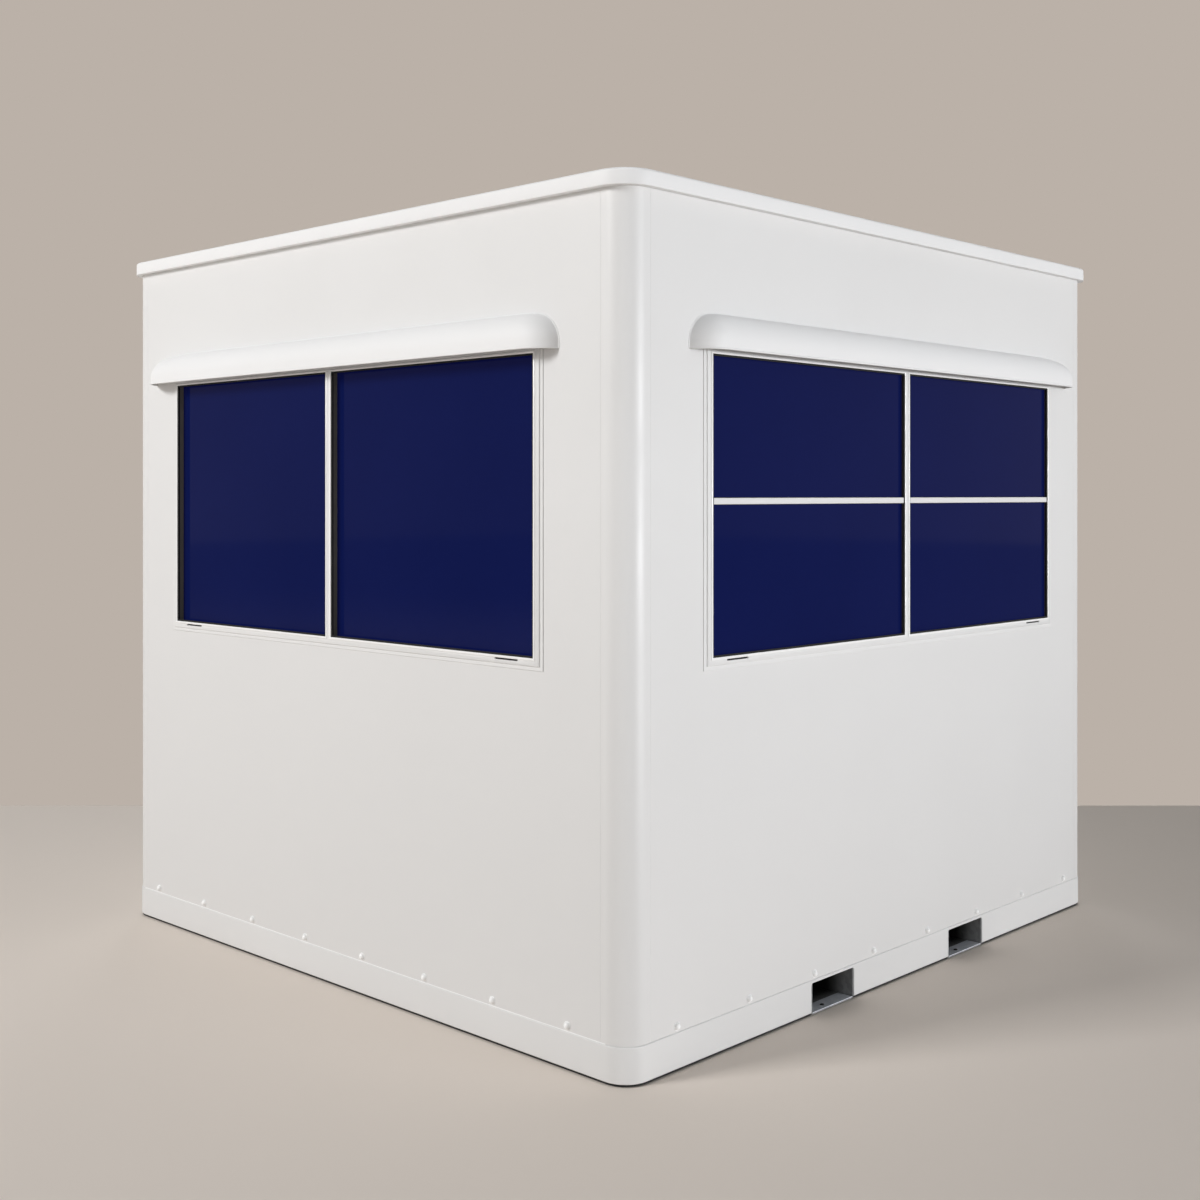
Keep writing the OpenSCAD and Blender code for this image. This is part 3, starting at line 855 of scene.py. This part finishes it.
plate_length = 52 * MM
plate_top = tube_wall + 2 * MM
plate_inset = tube_wall + 3 * MM
screw_radius = 7 * MM
screw_height = 4 * MM
screw_from_mouth = 21 * MM
screw_share = 0.38
plates = bmesh.new()
screws = bmesh.new()
for node in FORK_TUBES:
    low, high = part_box(node)
    screw_y = low.y + screw_share * (high.y - low.y)
    for side in (-1, 1):
        start, end = sorted((side * high.x, side * (high.x - plate_length)))
        add_box(plates, (start, low.y + plate_inset, tube_wall),
                (end, high.y - plate_inset, plate_top))
        add_turned(screws, dome_profile(screw_radius, screw_height),
                   upright_at(side * (high.x - screw_from_mouth), screw_y, plate_top))
make_piece("fork_tube_mouth_plates", plates, plate_steel, edge=0.4 * MM)
make_piece("fork_tube_screws", screws, black_rubber)

# %% Paint the parts that show as they are
for node, finish in (("floor_joists", galvanised_steel), ("floor_deck", floor_covering),
                     ("ceiling", panel_white), ("roof_panel", panel_white)):
    paint_part(node, finish)

# %% [markdown]
# ## The roof cap
#
# One moulding covers the roof and turns down over the top of the walls. Again it is a
# stack of rings: from the flat top, over a soft shoulder, down the rim, round its foot
# and up inside to the underside of the skin. Its corners are rounder than the posts
# below, so the overhang stays even all the way round.

# %% Roof cap
cap_low, cap_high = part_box("roof_cap")
cap_radius = 98 * MM
cap_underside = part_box("roof_panel")[1].z
cap_wall = cap_high.x - right_x - 1 * MM
shoulder = 9 * MM
cap_foot = 2 * MM
cap_edge = 0.5 * MM
section = arc((shoulder, roof_top - shoulder), shoulder, 90, 180, 8)
section += arc((cap_foot, cap_low.z + cap_foot), cap_foot, 180, 270, 4)
section += [(cap_wall - cap_edge, cap_low.z), (cap_wall, cap_low.z + cap_edge),
            (cap_wall, cap_underside)]
shape = bmesh.new()
stack_rings(shape, [
    ring_round_pod(inset, height, cap_high.x, cap_high.y, cap_radius, 28)
    for inset, height in section])
make_piece("roof_cap_moulding", shape, moulded_white, ["roof_cap"])

# %% [markdown]
# ## Bolts, by Geometry Nodes
#
# A row of small dome-headed bolts runs along the foot of each wall, where the panels are
# fixed to the skirt. They all match, so one node tree makes them: points on a line, a
# dome and a thin washer on each point, turned to face outwards. The points near the
# doorway are deleted. The result is then kept as a plain mesh.

# %% Build the tree that makes a row of bolts
BOLT_INPUTS = {
    "Geometry": "Geometry", "Count": "Int", "Start": "Vector", "Step": "Vector",
    "Out": "Vector", "Head Radius": "Float", "Head Height": "Float", "Washer": "Float",
    "Clear Centre": "Vector", "Clear Radius": "Float", "Finish": "Material"}
washer_share = 1.15


def bolt_points(tree, given):
    """Points in a line, but for those within a distance of a place kept clear."""
    line = add_node(tree, "GeometryNodeMeshLine", Count=given["Count"],
                    Start_Location=given["Start"], Offset=given["Step"])
    place = add_node(tree, "GeometryNodeInputPosition")
    away = add_node(tree, "ShaderNodeVectorMath", place, given["Clear Centre"],
                    operation="DISTANCE")
    near = add_node(tree, "FunctionNodeCompare", away.outputs["Value"], given["Clear Radius"],
                    operation="LESS_THAN")
    return add_node(tree, "GeometryNodeDeleteGeometry", Geometry=line, Selection=near)


def bolt_head(tree, given):
    """A thin washer and a dome on it, facing up."""
    ball = add_node(tree, "GeometryNodeMeshUVSphere", Segments=24, Rings=14, Radius=1)
    size = add_node(tree, "ShaderNodeCombineXYZ", X=given["Head Radius"],
                    Y=given["Head Radius"], Z=given["Head Height"])
    dome = add_node(tree, "GeometryNodeTransform", Geometry=ball, Scale=size)
    smooth = add_node(tree, "GeometryNodeSetShadeSmooth", Geometry=dome)
    rim = add_node(tree, "ShaderNodeMath", given["Head Radius"], washer_share,
                   operation="MULTIPLY")
    washer = add_node(tree, "GeometryNodeMeshCylinder", Vertices=24, Radius=rim,
                      Depth=given["Washer"])
    head = add_node(tree, "GeometryNodeJoinGeometry", washer)
    tree.links.new(smooth.outputs[0], head.inputs[0])
    return head


def bolt_tree():
    """A node group that makes a row of washers and domes, all facing one way."""
    tree = bpy.data.node_groups.new("bolt_row", "GeometryNodeTree")
    for name, kind in BOLT_INPUTS.items():
        tree.interface.new_socket(name, in_out="INPUT", socket_type="NodeSocket" + kind)
    tree.interface.new_socket("Geometry", in_out="OUTPUT", socket_type="NodeSocketGeometry")
    given = add_node(tree, "NodeGroupInput").outputs
    turn = add_node(tree, "FunctionNodeAlignRotationToVector", axis="Z", Vector=given["Out"])
    bolts = add_node(tree, "GeometryNodeInstanceOnPoints", Points=bolt_points(tree, given),
                     Instance=bolt_head(tree, given), Rotation=turn)
    real = add_node(tree, "GeometryNodeRealizeInstances", bolts)
    painted = add_node(tree, "GeometryNodeSetMaterial", Geometry=real, Material=given["Finish"])
    add_node(tree, "NodeGroupOutput", painted)
    return tree


bolt_row = bolt_tree()
print("node tree bolt_row:", len(bolt_row.nodes), "nodes")

# %% Put a row of bolts along the foot of each wall
bolt_count = 8
bolt_radius = 10.5 * MM
bolt_height = 10 * MM
bolt_washer = 2.5 * MM
bolt_z = skirt_top + 16 * MM
front_step = 298.6 * MM
side_step = 313.4 * MM
door_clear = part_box("door_frame")[1].x + 20 * MM


def add_bolts(name, place, step, shift, clear_radius=0.0):
    """A row of bolts along one wall in equal steps, shifted along from its middle."""
    holder = bpy.data.objects.new(name, bpy.data.meshes.new(name))
    scene.collection.objects.link(holder)
    row = holder.modifiers.new("bolts", "NODES")
    row.node_group = bolt_row
    first = shift - step * (bolt_count - 1) / 2
    start = place(first, 0, bolt_z)
    values = {
        "Count": bolt_count, "Start": start, "Step": place(first + step, 0, bolt_z) - start,
        "Out": place(first, -1, bolt_z) - start, "Head Radius": bolt_radius,
        "Head Height": bolt_height, "Washer": bolt_washer, "Clear Centre": place(0, 0, bolt_z),
        "Clear Radius": clear_radius, "Finish": highlight_bead_white}
    for socket in bolt_row.interface.items_tree:
        if socket.in_out == "INPUT" and socket.name in values:
            row[socket.identifier] = values[socket.name]
    settle(holder)
    register(holder)


add_bolts("front_bolts", on_front, front_step, shift=-22 * MM)
add_bolts("right_bolts", on_right, side_step, shift=11 * MM)
add_bolts("left_bolts", on_left, side_step, shift=11 * MM)
add_bolts("rear_bolts", on_rear, front_step, shift=0, clear_radius=door_clear)

# %% [markdown]
# ## Windows
#
# Each window is a white frame with two panes, one on each side of an upright bar. What
# makes it read as a real window lies between the frame's face and the glass. A thin
# white bead stands round each pane, painted whiter partly as a highlight, with the lip
# of a black gasket inside it. Behind them, the reveal is lined with black rubber, and then
# with the bronze spacer of the sealed unit. Near each end of the window a drain slot is
# cut under the panes, with a black box behind it as painted shade. The side windows also
# have a thin level bar across each pane, which lies on the glass.

# %% Find the panes
glass_cover = 8 * MM


def solid_boxes(node):
    """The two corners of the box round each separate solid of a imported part, in order."""
    shape = copy_part(node)
    waiting = set(shape.verts)
    boxes = []
    for seed in shape.verts:
        if seed not in waiting:
            continue
        waiting.discard(seed)
        group = [seed]
        for vert in group:
            for edge in vert.link_edges:
                other = edge.other_vert(vert)
                if other in waiting:
                    waiting.discard(other)
                    group.append(other)
        boxes.append([Vector([pick(vert.co[axis] for vert in group) for axis in range(3)])
                      for pick in (min, max)])
    shape.free()
    return sorted(boxes, key=lambda box: tuple(box[0]))


def panes_of(node, axis):
    """Start, end, foot and head of the part of each pane that shows, along an axis."""
    return [(low[axis] + glass_cover, high[axis] - glass_cover,
             low.z + glass_cover, high.z - glass_cover) for low, high in solid_boxes(node)]


front_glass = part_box("front_window_glass")[0].y - front_y
side_glass = right_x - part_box("right_window_glass")[1].x
face_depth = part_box("front_window_frame")[0].y - front_y
WINDOWS = (
    ("front", on_front, panes_of("front_window_glass", 0), front_glass, False),
    ("right", on_right, panes_of("right_window_glass", 1), side_glass, True),
    ("left", on_left, panes_of("left_window_glass", 1), side_glass, True))
for name, place, panes, glass_depth, crossed in WINDOWS:
    print(name, "panes:", [[round(value, 3) for value in pane] for pane in panes])

# %% Window frames, with soft edges and drain slots
slot_length = 95 * MM
slot_height = 5 * MM
slot_from_end = 63 * MM
slot_drop = 12 * MM
slot_cut = 12 * MM
profile_edge = 2.2 * MM


def add_drain_slots(shape, place, panes, front, inset=0.0):
    """The solid of a drain slot near each end of a window, from a depth on."""
    first = panes[0][0] + slot_from_end
    last = panes[-1][1] - slot_from_end - slot_length
    foot = panes[0][2] - slot_drop
    for start in (first, last):
        add_box(shape, (start + inset, front, foot + inset / 2),
                (start + slot_length - inset, face_depth + slot_cut,
                 foot + slot_height - inset / 2), place)


for name, place, panes, glass_depth, crossed in WINDOWS:
    node = name + "_window_frame"
    profile = make_piece(node + "_profile", copy_part(node), frame_white,
                         [node], profile_edge)
    shape = bmesh.new()
    add_drain_slots(shape, place, panes, face_depth - 2 * MM)
    cut_with(profile, shape)

# %% Beads round the panes and the crossbars
bead_width = 6.5 * MM
bead_face = face_depth - 2.5 * MM
bead_step = face_depth - 1.25 * MM
bead_back = face_depth + 3 * MM
bead_crown = 0.25 * bead_width
bead_lap = 0.3 * MM
bead_gap = -0.2 * MM
crossbar_low = 1520 * MM
crossbar_high = 1538 * MM
crossbar_face = face_depth + 1 * MM


def add_surround(shape, place, pane, section):
    """A mitred frame round a pane, from a section of inset and depth."""
    start, end, foot, head = pane
    stack_rings(shape, [
        [place(start + inset, depth, foot + inset), place(end - inset, depth, foot + inset),
         place(end - inset, depth, head - inset), place(start + inset, depth, head - inset)]
        for inset, depth in section], closed=True)


bead_section = [
    (-bead_width, face_depth), (-bead_width, bead_step), (bead_crown - bead_width, bead_face),
    (-bead_crown, bead_face), (bead_lap, bead_step), (bead_lap, bead_back),
    (bead_gap, bead_back), (bead_gap, face_depth)]
for name, place, panes, glass_depth, crossed in WINDOWS:
    shape = bmesh.new()
    for pane in panes:
        add_surround(shape, place, pane, bead_section)
    make_piece(name + "_window_beads", shape, highlight_bead_white)
    if crossed:
        shape = bmesh.new()
        for start, end, foot, head in panes:
            add_box(shape, (start, crossbar_face, crossbar_low),
                    (end, glass_depth, crossbar_high), place)
        make_piece(name + "_window_crossbars", shape, frame_white,
                   edge=1.5 * MM)

# %% Gaskets, spacers, and black boxes as painted shade in the drain slots
gasket_width = 6 * MM
rubber_thick = 1.5 * MM
spacer_thick = 1.0 * MM
rubber_start = face_depth + 1 * MM
rubber_depth = 8 * MM
foot_strip_width = 3 * MM
bar_strip_width = 2 * MM
slot_shade_start = face_depth + 5 * MM
slot_shade_play = 0.2 * MM
lip_back = rubber_start + 2 * MM
lip_section = [(0, rubber_start), (gasket_width, rubber_start), (gasket_width, lip_back),
               (0, lip_back)]


def add_reveal(shape, place, pane, near, far, thick):
    """Strips on both sides and the head of a pane's reveal, between two depths."""
    start, end, foot, head = pane
    add_box(shape, (start, near, foot), (start + thick, far, head), place)
    add_box(shape, (end - thick, near, foot), (end, far, head), place)
    add_box(shape, (start + thick, near, head - thick), (end - thick, far, head), place)


def add_strip(shape, place, pane, depth, width, z):
    """A level strip of rubber across a pane, on the glass."""
    add_box(shape, (pane[0] + rubber_thick, depth - width, z),
            (pane[1] - rubber_thick, depth, z + rubber_thick), place)


for name, place, panes, glass_depth, crossed in WINDOWS:
    rubber = bmesh.new()
    spacer = bmesh.new()
    rubber_end = min(rubber_start + rubber_depth, glass_depth)
    for pane in panes:
        add_surround(rubber, place, pane, lip_section)
        add_reveal(rubber, place, pane, rubber_start, rubber_end, rubber_thick)
        if rubber_end < glass_depth:
            add_reveal(spacer, place, pane, rubber_end, glass_depth, spacer_thick)
        add_strip(rubber, place, pane, glass_depth, foot_strip_width, pane[2])
        if crossed:
            for z in (crossbar_low - rubber_thick, crossbar_high):
                add_strip(rubber, place, pane, glass_depth, bar_strip_width, z)
    # Painted shade: black boxes behind the drain slots make them dark inside.
    add_drain_slots(rubber, place, panes, slot_shade_start, slot_shade_play)
    make_piece(name + "_window_gaskets", rubber, black_rubber)
    if spacer.faces:
        make_piece(name + "_window_spacers", spacer, bronze_spacer)
    paint_part(name + "_window_glass", navy_glass)

# %% [markdown]
# ## Hoods
#
# A hood is a thin shell. From its lip, which a rolled bead stiffens, it rises upright
# for a hand's breadth, then bends back in a quarter of an ellipse until it meets the
# wall. Its ends are rounded in plan, about a centre a little behind the wall. Every
# point of the section therefore turns until it reaches the wall, and no further: the
# points near the top have the shortest way to go. Towards each end, and on round the
# turn, the top also sinks, and most at the end by the far corner. A bead of sealant
# follows the line where the moulding meets the wall.

# %% The section of a hood
hood_shell = 3 * MM
hood_round = 80 * MM
hood_setback = 35 * MM
lip_bead = 2.8 * MM
lip_step = 0.9 * MM
outside_start = lip_bead * 1.9
inside_start = lip_bead * 0.9
lip_rise = 1.5 * MM


def hood_side(reach, rise, inset, start_height):
    """One side of the hood's shell, from a height over the lip round to the wall."""
    steps = 20
    reach -= inset
    base = rise - hood_round
    bend = [math.radians(90 * i / steps) for i in range(steps + 1)]
    return [(reach, start_height), (reach, start_height + lip_rise)] + [
        (reach * math.cos(angle), base + (hood_round - inset) * math.sin(angle))
        for angle in bend]


def hood_section(reach, rise):
    """The hood's whole section as distance from the wall and height over the lip."""
    outside = hood_side(reach, rise, lip_step, outside_start)
    inside = hood_side(reach, rise, lip_step + hood_shell, inside_start)
    lip = arc((reach - lip_bead, lip_bead), lip_bead, 190, 420, 14)
    return inside[::-1] + lip + outside


def hood_place(out, share):
    """Along and depth of a point of the section, a share of its way round an end."""
    radius = hood_setback + out
    angle = share * math.acos(hood_setback / radius)
    return radius * math.sin(angle), hood_setback - radius * math.cos(angle)


print("a hood's shell is", round(hood_shell / MM, 1), "mm thick")

# %% The stations of a hood
def height_kept(sink, from_end):
    """The share of the height kept at a distance from an end that sinks by a share of the
    height over a length."""
    share, length = sink
    return 1 - share * max(0, 1 - from_end / length) ** 2


def hood_stations(first, last, start_run, end_run):
    """Places along a hood: along, the end it turns towards, and the share of the turn."""
    turns = 16
    steps = 10
    stations = [(first, -1, 1 - i / turns) for i in range(turns)]
    stations += [(first + start_run * i / steps, 0, 0) for i in range(steps + 1)]
    stations += [(last - end_run * i / steps, 0, 0) for i in range(steps, -1, -1)]
    return stations + [(last, 1, (i + 1) / turns) for i in range(turns)]


near_sink = (0.18, 140 * MM)
far_sink = (0.22, 260 * MM)
print("hood tops sink by", near_sink[0], "and", far_sink[0], "of their height at the ends")

# %% Hood mouldings
fixing_height = 30 * MM
fixing_drop = 1.5 * hood_shell
sealant = 2.2 * MM


def add_bead(shape, place, path, radius):
    """A round bead along a path of points on a wall, each along and up."""
    steps = 10
    rings = []
    for i, point in enumerate(path):
        heading = (path[min(i + 1, len(path) - 1)] - path[max(i - 1, 0)]).normalized()
        ring = []
        for step in range(steps):
            turn = 2 * math.pi * step / steps
            away = radius * math.cos(turn)
            ring.append(place(point.x - away * heading.y, -radius * math.sin(turn),
                              point.y + away * heading.x))
        rings.append(ring)
    stack_rings(shape, rings)


def add_hood(shape, place, start, end, lip_z, rise, reach, start_sink, end_sink):
    """A hood along a wall, with rounded ends, and the bead of sealant round it."""
    def height_at(along, height):
        kept = height_kept(start_sink, along - start) * height_kept(end_sink, end - along)
        return lip_z + height * kept

    run_end = hood_place(reach, 1)[0]
    first = start + run_end
    last = end - run_end
    stations = hood_stations(first, last, start_sink[1] - run_end, end_sink[1] - run_end)
    rings = []
    for along, side, share in stations:
        ring = []
        for out, height in hood_section(reach, rise):
            run, depth = hood_place(out, share)
            point = along + side * run
            ring.append(place(point, depth, height_at(point, height)))
        rings.append(ring)
    stack_rings(shape, rings)

    outline = hood_side(reach, rise, lip_step, lip_bead)[:-1]
    path = [(first - hood_place(out, 1)[0], height) for out, height in outline]
    path += [(along, rise) for along, side, share in stations if share == 0]
    path += [(last + hood_place(out, 1)[0], height) for out, height in reversed(outline)]
    add_bead(shape, place, [
        Vector((along, height_at(along, height))) for along, height in path], sealant)


for name, place, axis, sinks in (
        ("front_window", on_front, 0, (far_sink, near_sink)),
        ("right_window", on_right, 1, (near_sink, far_sink)),
        ("left_window", on_left, 1, (near_sink, far_sink)),
        ("rear_door", on_rear, 0, (near_sink, near_sink))):
    node = name + "_hood"
    low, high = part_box(node)
    reach = high[1 - axis] - low[1 - axis]
    shape = bmesh.new()
    add_hood(shape, place, low[axis], high[axis], low.z, high.z - low.z, reach, *sinks)
    add_box(shape, (low[axis] + sinks[0][1], -hood_shell, high.z - fixing_height),
            (high[axis] - sinks[1][1], 0, high.z - fixing_drop), place)
    make_piece(node + "_moulding", shape, moulded_white, [node], smooth=50)

# %% [markdown]
# ## The door
#
# The door stands in the rear wall, in a steel frame over a low threshold. A seal closes
# the gap round the leaf, so the gap looks dark. The lever handle is a bent round bar on
# a long plate, and each hinge has three knuckles on a pin.

# %% Door frame, leaf, threshold and glass
for name, node, finish, slot, edge in (
        ("door_frame_profile", "door_frame", frame_white, "window_frame_white", 1.0 * MM),
        ("door_leaf_panel", "door_leaf", panel_white, "panel_white", 1.2 * MM),
        ("door_threshold_plate", "door_threshold", satin_steel, "satin_steel", 1.5 * MM),
        ("door_glass_beads", "door_glass_trim", frame_white, "window_frame_white", 0.8 * MM)):
    make_piece(name, copy_part(node), finish, [node], edge)
paint_part("door_glass", navy_glass)

# %% Weather seal round the leaf, and the gasket of its glass
leaf_low, leaf_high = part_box("door_leaf")
leaf_depth = rear_y - leaf_high.y
half_leaf = leaf_high.x
seal_face = leaf_depth + 6 * MM
seal_back = leaf_depth + 30 * MM
seal_gap = 4 * MM
seal_lap = 0.5 * MM
shape = bmesh.new()
for side in (-1, 1):
    start, end = sorted((side * (half_leaf - seal_lap), side * (half_leaf + seal_gap)))
    add_box(shape, (start, seal_face, leaf_low.z),
            (end, seal_back, leaf_high.z + seal_gap), on_rear)
add_box(shape, (-half_leaf + seal_lap, seal_face, leaf_high.z - seal_lap),
        (half_leaf - seal_lap, seal_back, leaf_high.z + seal_gap), on_rear)
add_box(shape, (-half_leaf, seal_face, leaf_low.z - seal_gap),
        (half_leaf, seal_back, leaf_low.z + seal_lap), on_rear)
gasket_face = leaf_depth + 3 * MM
door_glass_depth = rear_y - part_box("door_glass")[1].y
add_surround(shape, on_rear, panes_of("door_glass", 0)[0], [
    (0, gasket_face), (rubber_thick, gasket_face), (rubber_thick, door_glass_depth),
    (0, door_glass_depth)])
make_piece("door_seals", shape, black_rubber)

# %% Lever handle
handle_low, handle_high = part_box("door_handle")
handle_z = (handle_low.z + handle_high.z) / 2
handle_half = (handle_high.z - handle_low.z) / 2
plate_half = 20 * MM
plate_thick = 6 * MM
plate_face = leaf_depth - plate_thick
plate_mid = -handle_low.x - plate_half
lever_radius = 9 * MM
lever_depth = rear_y - handle_high.y + lever_radius
lever_end = -handle_high.x
lever_bend = 14 * MM
bend_steps = 8
tip_length = lever_radius * 0.6
tip_steps = 6
tip_share = 0.02


def lever_stations():
    """Along, depth, heading in degrees and share of the radius, from the plate to the tip."""
    bend_along = plate_mid - lever_bend
    bend_depth = lever_depth + lever_bend
    stations = [(plate_mid, plate_face + 0.5 * MM, 90, 1.0)]
    for i in range(bend_steps + 1):
        heading = 90 - 90 * i / bend_steps
        turn = math.radians(heading)
        stations.append((bend_along + lever_bend * math.sin(turn),
                         bend_depth - lever_bend * math.cos(turn), heading, 1.0))
    for i in range(tip_steps + 1):
        turn = math.pi / 2 * i / tip_steps
        stations.append((lever_end + tip_length * (1 - math.sin(turn)), lever_depth, 0,
                         max(math.cos(turn), tip_share)))
    return stations


def add_lever(shape):
    """A round bar through the lever's stations, all at one height."""
    steps = 20
    rings = []
    for along, depth, heading, share in lever_stations():
        side_x = math.sin(math.radians(heading))
        side_y = math.cos(math.radians(heading))
        ring = []
        for i in range(steps):
            turn = 2 * math.pi * i / steps
            across_bar = lever_radius * share * math.cos(turn)
            ring.append(on_rear(along + across_bar * side_x, depth + across_bar * side_y,
                                handle_z + lever_radius * share * math.sin(turn)))
        rings.append(ring)
    stack_rings(shape, rings)


def on_plate(height):
    """A placing function for what is turned on the handle's plate, at a height."""
    return lambda x, y, out: on_rear(plate_mid + x, plate_face - out, height + y)


shape = bmesh.new()
add_lever(shape)
print("lever:", round((plate_mid - lever_end) / MM), "mm long")

# %% The handle's plate, collars and keyhole
cylinder_z = handle_z - 52 * MM
lever_collar = (13 * MM, 5 * MM)
cylinder_collar = (9 * MM, 3.5 * MM)
plate_screw = (3.5 * MM, 1.5 * MM)
screw_inset = 12 * MM
plate_corner = 8 * MM
chamfer = 1 * MM
keyhole_half = 0.7 * MM
keyhole_face = plate_face - 3.8 * MM
keyhole_back = plate_face - 3 * MM
keyhole_foot = cylinder_z - 5 * MM
keyhole_head = cylinder_z + 4 * MM


def collar_profile(radius, height):
    """A disc with a chamfered edge."""
    return [(radius, 0), (radius, height - chamfer), (radius - chamfer, height),
            (0.5 * MM, height)]


add_turned(shape, collar_profile(*lever_collar), on_plate(handle_z), 28)
add_turned(shape, collar_profile(*cylinder_collar), on_plate(cylinder_z), 24)
for z in (handle_low.z + screw_inset, handle_high.z - screw_inset):
    add_turned(shape, dome_profile(*plate_screw), on_plate(z))
rings = []
for inset, drop in ((0, plate_thick), (0, chamfer), (0.3 * chamfer, 0.3 * chamfer), (chamfer, 0)):
    outline = rounded_outline(plate_half - inset, handle_half - inset, plate_corner - inset, 6)
    rings.append([on_rear(plate_mid + x, plate_face + drop, handle_z + z) for x, z in outline])
stack_rings(shape, rings)
make_piece("door_handle_lever", shape, satin_steel, ["door_handle"], smooth=50)
# Painted shade: the keyhole is a thin black slab on the collar, dark as a hollow slot.
shape = bmesh.new()
add_box(shape, (plate_mid - keyhole_half, keyhole_face, keyhole_foot),
        (plate_mid + keyhole_half, keyhole_back, keyhole_head), on_rear)
make_piece("door_keyhole_shade", shape, black_rubber)

# %% Hinges
knuckle = 8 * MM
hinge_plate = 3 * MM
plate_end = 1 * MM
pin_from_end = 34 * MM
groove = 1.2 * MM
groove_radius = knuckle * 0.85
hinge_screw = (4 * MM, 1.2 * MM)
HINGE_SCREWS = ((0.18, 11 * MM), (0.5, 16 * MM), (0.82, 11 * MM))


def knuckle_profile(height):
    """Three knuckles on a pin, as radius and height: rounded ends, a groove at each joint."""
    end = [(knuckle * 0.6, 0), (knuckle * 0.9, 0.6 * MM), (knuckle, 1.5 * MM)]
    profile = list(end)
    for joint in (height / 3, height / 3 * 2):
        profile += [(knuckle, joint - groove), (groove_radius, joint - groove / 2),
                    (groove_radius, joint + groove / 2), (knuckle, joint + groove)]
    return profile + [(radius, height - rise) for radius, rise in reversed(end)]


def on_hinge(x0, z0):
    """A placing function for what is turned on a hinge's plate."""
    return lambda x, y, out: (x0 + x, leaf_high.y + hinge_plate + out, z0 + y)


shape = bmesh.new()
for low, high in solid_boxes("door_hinges"):
    pin_x = low.x + pin_from_end
    pin_y = high.y - knuckle
    height = high.z - low.z
    add_turned(shape, knuckle_profile(height), upright_at(pin_x, pin_y, low.z), 24)
    add_box(shape, (low.x, leaf_high.y, low.z + plate_end),
            (pin_x, leaf_high.y + hinge_plate, high.z - plate_end))
    add_box(shape, (high.x - hinge_plate, low.y, low.z + plate_end),
            (high.x, pin_y, high.z - plate_end))
    for share, along in HINGE_SCREWS:
        add_turned(shape, dome_profile(*hinge_screw),
                   on_hinge(low.x + along, low.z + share * height), 16)
make_piece("door_hinge_knuckles", shape, satin_steel, ["door_hinges"])

# %% [markdown]
# ## The finished size
#
# The size of the box round the finished pod is printed, as the imported model's was at the start.

# %% Print the finished size
low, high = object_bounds()
print("finished box:", [round(side, 3) for side in high - low], "m")
